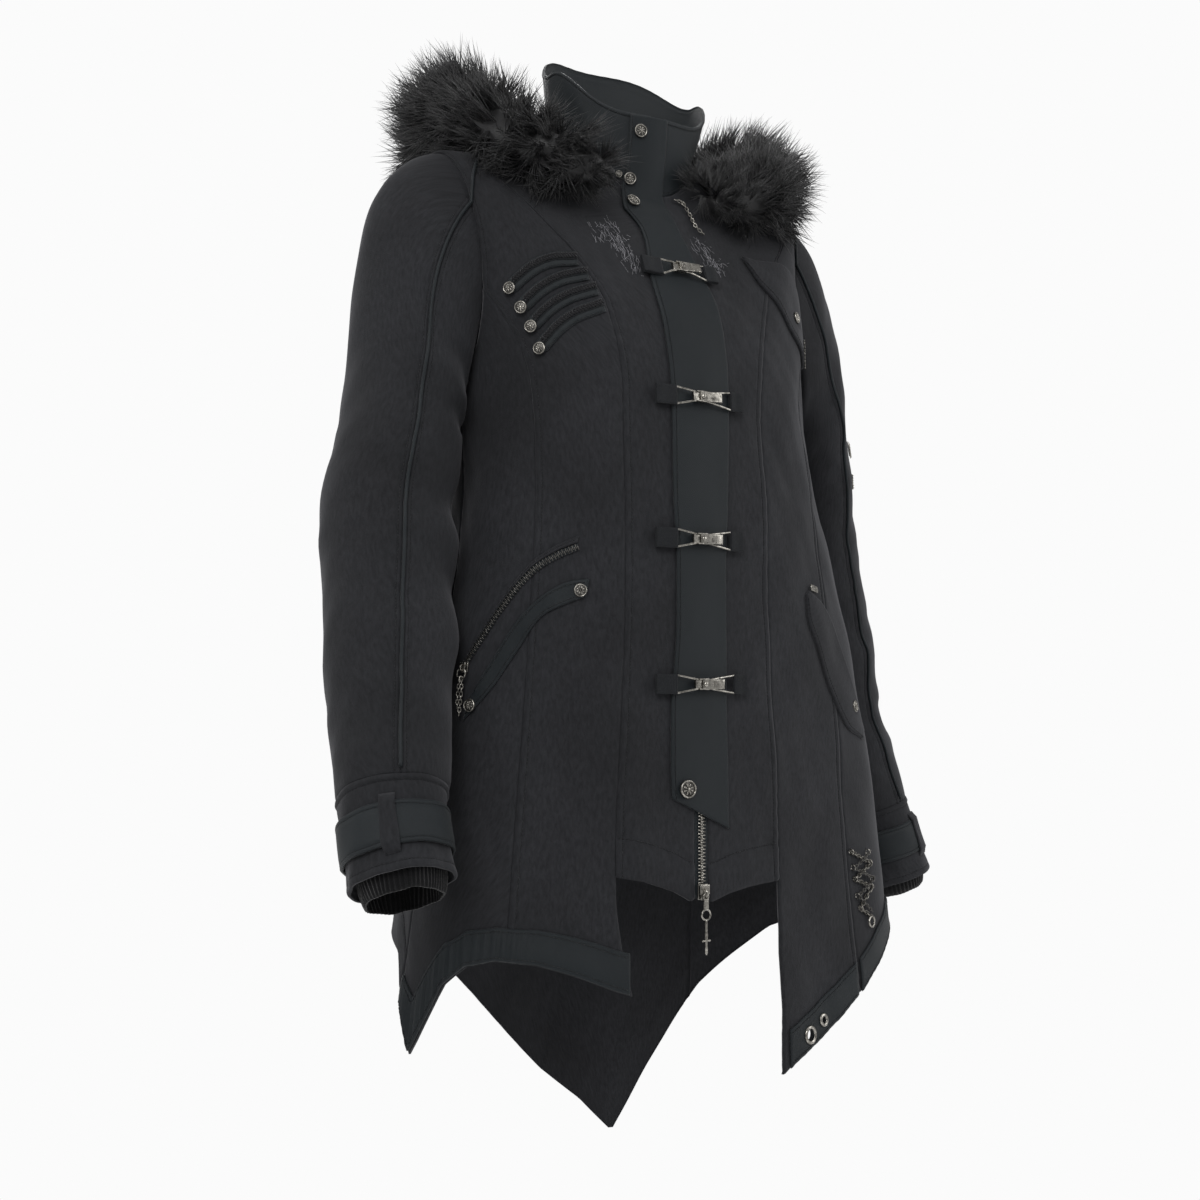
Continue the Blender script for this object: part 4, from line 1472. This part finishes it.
WEBBING = webbing_finish()
for k, (level, first, last, lift) in enumerate(CLASPS):
    ends = [cloth(first, level, lift), cloth(last, level, lift)]
    middle = (first + last) / 2
    across = unit(ends[1] - ends[0])
    out = outward(cloth_point, np.float64(middle), np.float64(level))
    out = unit(out - across * np.dot(out, across))
    up = np.cross(out, across)
    axes = (across, up, out)
    base = (ends[0] + ends[1]) / 2
    peak = max(np.dot(cloth(a, level, lift) - base, out) for a in np.linspace(first, last, 9))
    base = base + out * (peak + 0.0006)
    length = np.linalg.norm(ends[1] - ends[0])
    half = length / 2
    tabs, wires, metal_parts = [], [], []
    for sign, wide in ((-1, 0.021), (1, 0.014)):
        rows = []
        for x in np.linspace(sign * half, sign * (half - wide), 14):
            share = (x + half) / length
            ground = np.dot(cloth(first + (last - first) * share, level, lift) - base, out)
            rows.append((x, ground))
        rows = np.array(rows)
        fold = TAB_THICK / 2
        turn = np.radians(np.linspace(90, -90, 9))
        wave = 0.00025 * np.sin(np.linspace(0, 7, len(rows)) + k)
        top = [(x, g + TAB_THICK + w) for (x, g), w in zip(rows[:-1], wave)]
        bend = [(rows[-1, 0] + sign * fold - sign * fold * math.cos(a) * 1.0,
                 rows[-1, 1] + fold + fold * math.sin(a)) for a in turn]
        low = [(x, g) for x, g in rows[:-1][::-1]]
        step = [(rows[0, 0], rows[0, 1] + TAB_THICK * 0.48), (rows[0, 0] - sign * 0.0006, rows[0, 1] + TAB_THICK * 0.5),
                (rows[0, 0], rows[0, 1] + TAB_THICK * 0.55)]
        outline = np.array(top + bend + low + step)
        centre = outline.mean(0)
        loops = []
        for y, share in ((-TAB_HALF, 0.90), (-TAB_HALF + 0.0003, 0.985), (-TAB_HALF * 0.72, 1.0), (0, 1.0),
                         (TAB_HALF * 0.72, 1.0), (TAB_HALF - 0.0003, 0.985), (TAB_HALF, 0.90)):
            flat = np.stack([outline[:, 0], centre[1] + (outline[:, 1] - centre[1]) * share], -1)
            loops.append(base + flat[:, :1] * across + y * up + flat[:, 1:] * out)
        loops = np.array(loops)
        count = len(outline)
        faces = [(i * count + j, i * count + (j + 1) % count, (i + 1) * count + (j + 1) % count, (i + 1) * count + j)
                 for i in range(len(loops) - 1) for j in range(count)]
        faces += [tuple(reversed(range(count))), tuple(range((len(loops) - 1) * count, len(loops) * count))]
        if sign < 0:
            faces = [tuple(reversed(f)) for f in faces]
        tabs.append((loops.reshape(-1, 3), faces))
        x0, x1 = sign * (half - wide + 0.0022), sign * 0.0040
        ground = rows[-1, 1] + fold
        corners = [base + across * x + up * y + out * z for x, y, z in (
            (x1, -0.0034, 0.0034), (sign * 0.0095, -0.0045, 0.0040), (x0 - sign * 0.0005, -0.0079, ground),
            (x0 + sign * 0.0016, -0.0060, ground), (x0 + sign * 0.0016, 0.0060, ground),
            (x0 - sign * 0.0005, 0.0079, ground), (sign * 0.0095, 0.0045, 0.0040), (x1, 0.0034, 0.0034))]
        wires.append(tube(rounded_path(corners, 0.0022), 0.00095, 10))
    metal_parts += wires
    metal_parts.append(block((0.0105, 0.0088, 0.0034), base + out * 0.0030 - across * 0.0040, axes, 0.0006))
    for y in (-0.0043, 0.0043):
        metal_parts.append(block((0.0100, 0.0012, 0.0046), base + out * 0.0042 - across * 0.0012 + up * y, axes, 0.0004))
    tilt = unit(across + out * 0.06)
    lever = (tilt, up, np.cross(tilt, up))
    metal_parts.append(block((0.0215, 0.0096, 0.0016), base + out * 0.0062 + across * 0.0078, lever, 0.0005, 0.86))
    metal_parts.append(block((0.0085, 0.0060, 0.0009), base + out * 0.0072 + across * 0.0125, lever, 0.0003, 0.9))
    metal_parts.append(block((0.0014, 0.0088, 0.0030), base + out * 0.0058 + across * 0.0182, lever, 0.0004))
    rivet, faces = turned([(0.0023, -0.001, 0), (0.0023, 0.0006, 0), (0.0019, 0.0011, 0), (0.0011, 0.0015, 0),
                           (0.0002, 0.0016, 0)], 20)
    spot = base + out * 0.0068 - across * 0.0002
    metal_parts.append((spot + rivet[:, :1] * across + rivet[:, 1:2] * up + rivet[:, 2:] * out, faces))
    hook = [base + across * x + out * z for x, z in ((0.0020, 0.0030), (0.0070, 0.0024), (0.0105, 0.0026), (0.0120, 0.0042))]
    metal_parts.append(tube(rounded_path(hook, 0.003), 0.0012, 10))
    points, faces = joined(tabs)
    webbing = add_mesh("clasp_tabs_%d" % (k + 1), points, faces, WEBBING, "jacket")
    step = webbing.modifiers.new("crisp", "EDGE_SPLIT")
    step.split_angle = math.radians(50)
    points, faces = joined(metal_parts)
    metal_piece = add_mesh("clasp_metal_%d" % (k + 1), points, faces, METAL, "jacket",
                           ["clasp_%d" % (k + 1)])
    step = metal_piece.modifiers.new("crisp", "EDGE_SPLIT")
    step.split_angle = math.radians(40)

# ---- chest straps ------------------------------------------------------------------------------
# Four curved straps on the wearer's right chest: a flat band, a raised braid beside it, a fine
# cord between them, and a snap at the outer end.
CHEST_STRAPS = [  # angle and level of the outer end, of a point on the way, and of the inner end
    ((-65.5, -0.117), (-56.0, -0.073), (-46.5, -0.041)),
    ((-62.5, -0.135), (-53.0, -0.090), (-43.0, -0.057)),
    ((-59.8, -0.154), (-50.0, -0.108), (-40.0, -0.076)),
    ((-57.3, -0.177), (-47.5, -0.130), (-37.8, -0.099)),
]
CHEST_STRAP_HALF = 0.0066
BRAID_STEP = 0.0052


def braid_finish():
    made, tree, shader = new_finish("braid", 0.92, 0, 0.12, 0.45)
    place = wire(tree, "ShaderNodeTexCoord").outputs
    loops = wire(tree, "ShaderNodeTexVoronoi", {"Scale": 900.0}, Vector=place["Object"])
    tree.links.new(mixed(tree, (0.0035, 0.0035, 0.0042), (0.0125, 0.0125, 0.0140), loops.outputs[0]),
                   shader.inputs["Base Color"])
    bumped(tree, shader, [(loops.outputs[0], 0.0004, 0.6)])
    return made


def plait(line, across, out, half):
    """Three strands plaited along a line."""
    run = np.concatenate([[0], np.cumsum(np.linalg.norm(np.diff(line, axis=0), axis=1))])
    at = np.arange(0, run[-1], BRAID_STEP / 8)
    spots, sides, outs = (np.stack([np.interp(at, run, some[:, k]) for k in range(3)], -1)
                          for some in (line, across, out))
    strands = []
    for strand in range(3):
        phase = at * 2 * math.pi / BRAID_STEP / 1.5 + strand * 2 * math.pi / 3
        path = spots + sides * (half * np.sin(phase))[:, None] + outs * (0.00055 * np.sin(2 * phase))[:, None]
        strands.append(tube(path, 0.00085, 6))
    return joined(strands)


BRAID = braid_finish()
for k, ends in enumerate(CHEST_STRAPS):
    line = resample(ends, 40)
    spots = cloth(line[:, 0], line[:, 1])
    ahead = unit(np.gradient(spots, axis=0))
    out = outward(cloth_point, line[:, 0], line[:, 1])
    across = np.cross(out, ahead)
    around = unit(cloth(line[:, 0] + 1, line[:, 1]) - spots)
    upward = unit(cloth(line[:, 0], line[:, 1] + 0.002) - spots)
    turn_metre = np.linalg.norm(cloth(line[:, 0] + 1, line[:, 1]) - spots, axis=1)
    rise_metre = np.linalg.norm(cloth(line[:, 0], line[:, 1] + 0.002) - spots, axis=1) / 0.002
    nose = np.sqrt(np.clip(1 - ((1 - np.arange(40) / 4.0).clip(0, 1)) ** 2, 0.12, 1))
    half = CHEST_STRAP_HALF * nose

    def beside(share):
        step = across * (half * share)[:, None]
        cosine = (around * upward).sum(1)
        a, b = (step * around).sum(1), (step * upward).sum(1)
        first, second = (a - b * cosine) / (1 - cosine**2), (b - a * cosine) / (1 - cosine**2)
        return np.stack([line[:, 0] + first / turn_metre, line[:, 1] + second / rise_metre], -1)

    laid_sheet("chest_band_%d" % (k + 1), beside(-1.0), beside(1.0), GAP * 1.7, 0.0016, SMOOTH, "smooth_cloth",
               ["chest_strap_%d" % (k + 1)], (0.0012, None), rests_on=["front_middle_r_cloth"])
    skin = spots + out * 0.0029 + across * (half * 0.42)[:, None]
    points, faces = plait(skin[5:], across[5:], out[5:], 0.0019)
    add_mesh("chest_braid_%d" % (k + 1), points, faces, BRAID, "jacket")
    edge = spots + out * 0.0024 - across * (half * 0.12)[:, None]
    points, faces = tube(edge[4:], 0.00055, 6)
    add_mesh("chest_cord_%d" % (k + 1), points, faces, WEBBING, "jacket")
    add_snap("chest_snap_%d" % (k + 1), np.array(ends[0]) * 0.93 + np.array(ends[1]) * 0.07, GAP + 0.0020, 0.0054)

# ---- pocket and flaps --------------------------------------------------------------------------
# On the right a curved zip under a welt, with a smooth band that runs beside it and has a snap
# at each end. On the left two diagonal flaps, each held by a snap, with a zip end beside it.
POCKET_ZIP = [(-46, -0.350), (-52, -0.357), (-58, -0.368), (-65, -0.392), (-71, -0.422), (-76, -0.450)]
POCKET_BAND_TOP = [(-42.5, -0.379), (-48, -0.381), (-54, -0.389), (-63, -0.415), (-68, -0.444),
                   (-74, -0.482)]
POCKET_BAND_LOW = [(-43.5, -0.394), (-49, -0.400), (-56, -0.411), (-62, -0.439), (-69, -0.477),
                   (-75, -0.500)]
CHEST_FLAP_TOP = [(45, 0.022), (53, 0.004), (61, -0.032), (67, -0.070), (70, -0.105), (70.5, -0.146)]
CHEST_FLAP_LOW = [(44, 0.016), (44.5, -0.012), (49, -0.062), (54, -0.100), (61, -0.132), (69, -0.152)]
LOWER_FLAP_TOP = [(50, -0.380), (56, -0.391), (61.5, -0.412), (65.5, -0.444), (69, -0.480), (72, -0.514)]
LOWER_FLAP_LOW = [(48.5, -0.384), (48.5, -0.402), (52, -0.434), (57.5, -0.476), (63, -0.508), (70.5, -0.521)]


zip_line = np.array(POCKET_ZIP, float)
above = zip_line + np.array([[0.2, 0.0085]]) * np.linspace(0.9, 0.8, 6)[:, None]
laid_sheet("pocket_welt", resample(zip_line + (0, 0.0022), 60), resample(above, 60), GAP * 2.2, 0.0020, NAPPED,
           "napped_cloth", ["pocket_welt_r"], (None, 0.0022), rests_on=["front_side_r_cloth"])
laid_sheet("pocket_zip_tape", resample(zip_line - (0, 0.0050), 60), resample(zip_line + (0, 0.0014), 60), GAP * 2.5,
           0.0008, SMOOTH, "dark_metal", ["pocket_zip_r"], (None, None), rests_on=["front_side_r_cloth"])
line = resample(zip_line - (0, 0.0018), 400)
spots = cloth(line[:, 0], line[:, 1], GAP * 2.5 + 0.0007)
run = np.linspace(0, 399, int(np.linalg.norm(np.diff(spots, axis=0), axis=1).sum() / (TOOTH_STEP * 0.5)))
spots = np.stack([np.interp(run, np.arange(400), spots[:, k]) for k in range(3)], -1)
line = np.stack([np.interp(run, np.arange(400), line[:, k]) for k in range(2)], -1)
teeth("pocket_zip_teeth", spots, unit(np.gradient(spots, axis=0)), outward(cloth_point, line[:, 0], line[:, 1]), 0.8,
      TARNISH)
laid_sheet("pocket_band", resample(POCKET_BAND_LOW, 60), resample(POCKET_BAND_TOP, 60), GAP * 3, 0.0017, SMOOTH,
           "smooth_cloth", ["pocket_band_r"], rests_on=["front_side_r_cloth"])
for tag, place in (("upper", (-45.3, -0.389)), ("lower", (-73.2, -0.487))):
    add_snap("pocket_snap_" + tag, place, GAP * 3 + 0.0015, 0.0056)
for name, low, high, lift, thick, place in (
        ("chest_flap", CHEST_FLAP_LOW, CHEST_FLAP_TOP, 2.5 * GAP, 0.0028, (59.5, -0.092)),
        ("lower_flap", LOWER_FLAP_LOW, LOWER_FLAP_TOP, GAP, 0.0030, (66.8, -0.489))):
    laid_sheet(name, resample(low, 60), resample(high, 60), lift, thick, NAPPED, "napped_cloth", [name + "_l"],
               (0.0050, None), lambda across, run, width: 0.0007 * np.sin(run * 55) * np.sin(across / width * 3),
               rests_on=["front_middle_l_cloth"])
    add_snap(name + "_snap", place, lift + thick - 0.0002, 0.0056)
for name, start, end in (("chest_zip_end", (66.5, -0.120), (69.6, -0.150)), ("lower_zip_end", (54.0, -0.379), (50.4, -0.377))):
    line = np.array([np.array(start) * (1 - t) + np.array(end) * t for t in np.linspace(0, 1, 16)])
    spots = cloth(line[:, 0], line[:, 1], 0.0040 if name == "chest_zip_end" else 0.0024)
    teeth(name, spots, unit(np.gradient(spots, axis=0)), outward(cloth_point, line[:, 0], line[:, 1]), 0.8)

# ---- hem bands ---------------------------------------------------------------------------------
# Smooth bands finish the hem. The right one is gathered into small pleats towards the side; the
# left one carries two metal eyelets that go through the cloth.
HEM_TALL_RIGHT = ([-87, -80, -72, -62, -50, -38, -29.5], [0.020, 0.046, 0.030, 0.027, 0.030, 0.033, 0.034])
HEM_TALL_LEFT = ([36.5, 45, 60, 75, 84], [0.034, 0.032, 0.031, 0.030, 0.022])
EYELETS = [("eyelet_large", (44.2, -0.7835), 0.0060), ("eyelet_small", (49.4, -0.7735), 0.0038)]
hem = sorted(HEM_AROUND)


def gathers(across, run, width):
    pleat = np.clip((run[:, ::-1] - run + 0.02) / 0.03, 0, 1)
    return 0.0014 * 1.6 * pleat * (0.5 + 0.5 * np.sin(run * 2 * math.pi / 0.0075 + 0.8 * np.sin(run * 60))) * np.sin(
        np.clip(across / width, 0, 1) * math.pi) ** 0.5


def pierce(sheet, points, faces):
    """Cuts the space of a closed form out of a wall."""
    data = bpy.data.meshes.new("bore")
    data.from_pydata([tuple(p) for p in points], [], faces)
    cutter = bpy.data.objects.new("bore", data)
    bpy.context.scene.collection.objects.link(cutter)
    cut = sheet.modifiers.new("cut", "BOOLEAN")
    cut.operation, cut.solver, cut.object = "DIFFERENCE", "EXACT", cutter
    bpy.context.view_layer.update()
    pierced = bpy.data.meshes.new_from_object(sheet.evaluated_get(bpy.context.evaluated_depsgraph_get()))
    sheet.modifiers.remove(cut)
    sheet.data = pierced
    bpy.data.objects.remove(cutter)


angles = np.linspace(-87, -29.5, 110)
low = hem_level(hem, angles) + 0.0010
tall = smooth_value(angles, *HEM_TALL_RIGHT)
laid_sheet("hem_band_right", np.stack([angles, low], -1), np.stack([angles, low + tall], -1), GAP, 0.0018, SMOOTH,
           "smooth_cloth", ["hem_band_r"], (0.0050, 0.0030), gathers, "gathered", ["front_middle_r_cloth"])
for first, last in ((36.5, 61.3), (62.4, 84.0)):
    angles = np.linspace(first, last, 55)
    low = hem_level(hem, angles) + 0.0010
    tall = smooth_value(angles, *HEM_TALL_LEFT)
    name = "hem_band_left_" + ("front" if first < 50 else "side")
    laid_sheet(name, np.stack([angles, low], -1), np.stack([angles, low + tall], -1), 0.0009, 0.0016, SMOOTH,
               "smooth_cloth", ["hem_band_l"] if first < 50 else (), (0.0050, 0.0030), rests_on=["front_middle_l_cloth"])
for name, place, radius in EYELETS:
    base, around, upward, out = frame_at(place[0], place[1], 0.0028)
    turn = np.linspace(0, 2 * math.pi, 36, endpoint=False)
    profile = [(-0.0010, 0.0002), (0.0000, -0.0004), (0.0012, 0.0000), (0.0022, -0.0002), (0.0024, 0.0004),
               (0.0018, 0.0012), (0.0008, 0.0016), (-0.0002, 0.0014), (-0.0008, 0.0008)]
    points = [base + (radius + r) * (math.cos(a) * around + math.sin(a) * upward) + h * out
              for r, h in profile for a in turn]
    faces = [(i * 36 + k, i * 36 + (k + 1) % 36, (i + 1) % 9 * 36 + (k + 1) % 36, (i + 1) % 9 * 36 + k)
             for i in range(9) for k in range(36)]
    add_mesh(name + "_ring", points, faces, METAL, "jacket", [name])
    bore = [base + radius * (math.cos(a) * around + math.sin(a) * upward) + out * h for h in (-0.012, 0.012)
            for a in turn]
    faces = [tuple(reversed(range(36))), tuple(range(36, 72))]
    faces += [(k, (k + 1) % 36, (k + 1) % 36 + 36, k + 36) for k in range(36)]
    for cloth_name in ("front_middle_l_cloth", "hem_band_left_front"):
        pierce(bpy.data.objects[cloth_name], bore, faces)

# ---- sleeve patches ----------------------------------------------------------------------------
# Two small studded metal patches set on the left sleeve behind the piping.
PATCHES = [(0.205, 0.0011), (0.238, 0.0002)]  # down the arm, height over the cloth
points, faces = turned([(0.00085, 0.0, 0), (0.00080, 0.0004, 0), (0.00050, 0.0008, 0), (0.00010, 0.0009, 0)], 10)
STUD = small_shape("stud", points, faces)
for k, (down, low) in enumerate(PATCHES):
    turns = np.concatenate([[40, 40.2], np.linspace(41, 51, 6), [51.8, 52]])[None]
    downs = down + np.concatenate([[0, 0.0003], np.linspace(0.001, 0.014, 8), [0.0147, 0.015]])[:, None]
    turns, downs = np.broadcast_arrays(turns, downs)
    name = "sleeve_patch_plate_%d" % (k + 1)
    sleeve_sheet(name, 1, turns, downs, low + 0.0011 + 0 * downs, METAL, "dark_metal", thick=0.0009,
                 nodes=["sleeve_patch_%d" % (k + 1)], held=None)
    turns, downs = (a.ravel() for a in np.meshgrid(np.linspace(41.2, 50.8, 5), down + np.linspace(0.0013, 0.0137, 6)))
    spots, out = sleeve(1, turns, downs, low + 0.0010), sleeve_normal(1, turns, downs)
    across = unit(sleeve(1, turns + 1, downs) - sleeve(1, turns - 1, downs))
    add_row("sleeve_patch_studs_%d" % (k + 1), STUD, spots, across, out, METAL, 1.0, 0.05)

# ---- thread embroidery -------------------------------------------------------------------------
# Loose straight stitches of pale thread, scattered in two drifts beside the placket.
PALE_THREAD = thread("pale_thread", (0.200, 0.198, 0.212), 0.5)
DRIFTS = [  # name, line of places, spread, number, mean direction in degrees
    ("right_upper", [(-39, 0.034), (-35, 0.031), (-31, 0.027)], 0.021, 84, 148),
    ("right_lower", [(-33, 0.030), (-28.5, 0.014), (-23.0, -0.008)], 0.012, 84, 118),
    ("left_upper", [(24.5, 0.052), (26, 0.035), (27.5, 0.010)], 0.013, 74, 100),
    ("left_lower", [(26, 0.026), (30, 0.022), (35, 0.018)], 0.008, 26, 20),
]
points, faces = tube([(-0.0030, 0, -0.0002), (-0.0022, 0, 0.00012), (0, 0.0001, 0.0002), (0.0022, 0, 0.00012),
                      (0.0030, 0, -0.0002)], 0.00011, 5)
LONG_STITCH = small_shape("long_stitch", points, faces)
rng = np.random.default_rng(23)
for name, line, spread, number, slant in DRIFTS:
    share = rng.uniform(0, len(line) - 1, number)
    places = np.stack([np.interp(share, np.arange(len(line)), np.array(line)[:, k]) for k in (0, 1)], -1)
    places += rng.normal(0, 0.45, (number, 2)) * spread * np.array([480, 1.0])
    spots = cloth(places[:, 0], places[:, 1], 0.0004)
    out = outward(cloth_point, places[:, 0], places[:, 1])
    around = unit(cloth(places[:, 0] + 0.5, places[:, 1]) - spots)
    turn = np.radians(slant + rng.normal(0, 34, number))[:, None]
    ahead = around * np.cos(turn) + np.cross(out, around) * np.sin(turn)
    add_row("embroidery_" + name, LONG_STITCH, spots, ahead, out, PALE_THREAD, 0.95, 0.45)

# ---- chains and zip pulls ----------------------------------------------------------------------
# A chain laced along the left side and ending in a ring, a short one at the collar, and the two
# zip sliders with their pulls: a slim pendant in front, a ring with two short chains at the pocket.
FRONT_PULL_LEVEL = -0.6465
POCKET_PULL_PLACE = (-76.0, -0.4545)


def link_shape(name, long, wide, thick):
    path = []
    for turn in np.linspace(0, 2 * math.pi, 14, endpoint=False):
        reach = (long - wide) / 2 * np.sign(math.cos(turn)) * (abs(math.cos(turn)) > 0.3)
        path.append((reach + wide / 2 * math.cos(turn), wide / 2 * math.sin(turn), 0.0))
    points, faces = tube(path, thick, 5, True)
    return small_shape(name, points, faces)


def chain(name, shape, path, out, pitch, body="jacket", nodes=(), finish=None):
    """Links along a path, each turned a quarter from the one before."""
    path = np.asarray(path, float)
    run = np.concatenate([[0], np.cumsum(np.linalg.norm(np.diff(path, axis=0), axis=1))])
    at = np.arange(0, run[-1] + pitch * 0.3, pitch)
    spots = np.stack([smooth_value(np.minimum(at, run[-1]), run, path[:, k]) for k in range(3)], -1)
    ahead = unit(np.gradient(spots, axis=0))
    out = np.broadcast_to(out, spots.shape)
    out = unit(out - ahead * (out * ahead).sum(1, keepdims=True))
    side = np.cross(out, ahead)
    tilt = np.where(np.arange(len(spots)) % 2 == 0, 0.75, -0.75)[:, None]
    add_row(name, shape, spots, ahead, out * np.cos(tilt) + side * np.sin(tilt), finish or METAL,
            1.0, 0.0, body, nodes)


def ring_body(middle, radius, thick, axis, sides=10, segments=32):
    axis = unit(np.asarray(axis, float))
    first = unit(np.cross(axis, (0.1, 0.3, 0.95)))
    second = np.cross(axis, first)
    turn = np.linspace(0, 2 * math.pi, segments, endpoint=False)
    path = middle + radius * (np.cos(turn)[:, None] * first + np.sin(turn)[:, None] * second)
    return tube(path, thick, sides, True)


LINK = link_shape("chain_link", 0.0062, 0.0034, 0.00062)
FINE_LINK = link_shape("fine_link", 0.0046, 0.0026, 0.00048)
places = [(62.0, -0.626), (69.0, -0.640), (63.0, -0.652), (68.5, -0.662), (64.0, -0.680), (67.2, -0.690)]
line = np.array([np.array(a) * (1 - t) + np.array(b) * t for a, b in zip(places, places[1:])
                 for t in (0, 0.25, 0.5, 0.75)] + [places[-1]])
out = outward(cloth_point, np.float64(66.0), np.float64(-0.66))
chain("side_chain_links", LINK, cloth(line[:, 0], line[:, 1], 0.0024), out, 0.0044, nodes=["side_chain"], finish=AGED)
crossed = [(68.5, -0.629), (62.5, -0.641), (69.2, -0.655), (63.4, -0.668), (67.0, -0.684)]
line = np.array([np.array(a) * (1 - t) + np.array(b) * t for a, b in zip(crossed, crossed[1:])
                 for t in (0, 0.25, 0.5, 0.75)] + [crossed[-1]])
chain("side_chain_crossed", FINE_LINK, cloth(line[:, 0], line[:, 1], 0.0040), out, 0.0033, finish=TARNISH)
points, faces = ring_body(cloth(66.8, -0.6945, 0.0032), 0.0048, 0.0011, out)
add_mesh("side_chain_ring", points, faces, METAL, "jacket")
for k, (angle, level) in enumerate(places[:5] + crossed[:4]):
    base, around, upward, away = frame_at(angle, level, 0.0)
    points, faces = ring_body(base + away * 0.0020, 0.0024, 0.0006, around, 8, 20)
    add_mesh("side_chain_loop_%d" % (k + 1), points, faces, METAL, "jacket")
line = np.array([(21.5, 0.110), (27.0, 0.104), (26.5, 0.088), (26.0, 0.072), (29.0, 0.058)])
path = cloth(line[:, 0], line[:, 1], 0.0036)
chain("neck_chain_links", FINE_LINK, path, outward(cloth_point, np.float64(26.0), np.float64(0.09)), 0.0033,
      nodes=["neck_chain"])
base, around, upward, out = frame_at(-31.5, 0.124, 0.0012)
add_snap("neck_eyelet", None, 0, 0.0032, (), (base, around, upward, out))


def pull_parts(origin, axes, size):
    """The slider and the arch that its pull hangs on, with the pin's place."""
    across, up, out = axes
    parts = [block((0.0100 * size, 0.0080 * size, 0.0016), origin + out * 0.0040 + up * 0.0022 * size, axes, 0.0005),
             block((0.0076 * size, 0.0060 * size, 0.0016), origin + out * 0.0040 - up * 0.0036 * size, axes, 0.0005),
             block((0.0100 * size, 0.0130 * size, 0.0012), origin + out * 0.0010, axes, 0.0004),
             block((0.0026 * size, 0.0060 * size, 0.0036), origin + out * 0.0026 + up * 0.0020 * size, axes, 0.0003)]
    return parts


across, up, out = np.array([1.0, 0, 0]), np.array([0, 0, 1.0]), np.array([0, -1.0, 0])
axes = (across, up, out)
origin = cloth(0.0, FRONT_PULL_LEVEL, 0.0)
parts = pull_parts(origin, axes, 1.0)
turn = np.radians(np.linspace(-20, 200, 19))
arch = [origin + up * (0.0036 * math.cos(a) - 0.0008) + out * (0.0046 + 0.0032 * math.sin(a)) for a in turn]
parts.append(tube(arch, 0.00072, 10))
points, faces = joined(parts)
add_mesh("front_slider_metal", points, faces, METAL, "jacket", ["front_zip_slider"])
pin = origin + up * -0.0008 + out * 0.0061
parts = [ring_body(pin - up * 0.0026, 0.0026, 0.0006, across * 0.02 + out),
         block((0.0048, 0.0090, 0.0014), pin - up * 0.0094, axes, 0.0005),
         block((0.0026, 0.0056, 0.0018), pin - up * 0.0094, axes, 0.0004),
         ring_body(pin - up * 0.0180, 0.0044, 0.0008, out),
         tube([pin - up * v for v in (0.0215, 0.0240, 0.0300, 0.0360, 0.0440, 0.0500, 0.0520)],
              [0.0009, 0.0012, 0.0010, 0.0013, 0.0009, 0.0012, 0.0005], 12),
         tube([pin - up * 0.0400 + across * v for v in (-0.0043, -0.0036, -0.0020, 0.0, 0.0020, 0.0036, 0.0043)],
              [0.0005, 0.0010, 0.0007, 0.0011, 0.0007, 0.0010, 0.0005], 12)]
points, faces = joined(parts)
add_mesh("front_pull_pendant", points, faces, METAL, "front_pull", ["front_zip_pull"])

origin, around, upward, out = frame_at(*POCKET_PULL_PLACE, GAP)
axes = (around, upward, out)
parts = pull_parts(origin + out * 0.0006, axes, 0.66)
arch = [origin + upward * (0.0026 * math.cos(a) - 0.0006) + out * (0.0048 + 0.0026 * math.sin(a)) for a in turn]
parts.append(tube(arch, 0.0006, 10))
points, faces = joined(parts)
add_mesh("pocket_slider_metal", points, faces, METAL, "jacket", ["pocket_zip_slider"])
pin = origin - upward * 0.0006 + out * 0.0058
points, faces = ring_body(pin - upward * 0.0050, 0.0050, 0.0007, out)
add_mesh("pocket_pull_ring", points, faces, METAL, "pocket_pull", ["pocket_zip_pull"])
for tag, sign, long in (("long", 1, 0.0400), ("short", -1, 0.0330)):
    path = [pin - upward * 0.0098 + around * sign * 0.0006, pin - upward * 0.018 + around * sign * 0.0018,
            pin - upward * long + around * sign * 0.0014]
    chain("pocket_pull_chain_" + tag, FINE_LINK, path, out, 0.0033, "pocket_pull")

# ---- stitching ---------------------------------------------------------------------------------
# All topstitching lines, as single stitches of dark thread sunk into the cloth.
for group, rows in stitch_rows.items():
    spots, ahead, out = (np.concatenate([row[k] for row in rows]) for k in range(3))
    add_row("stitching_" + group, STITCH, spots, ahead, out, SEWING)
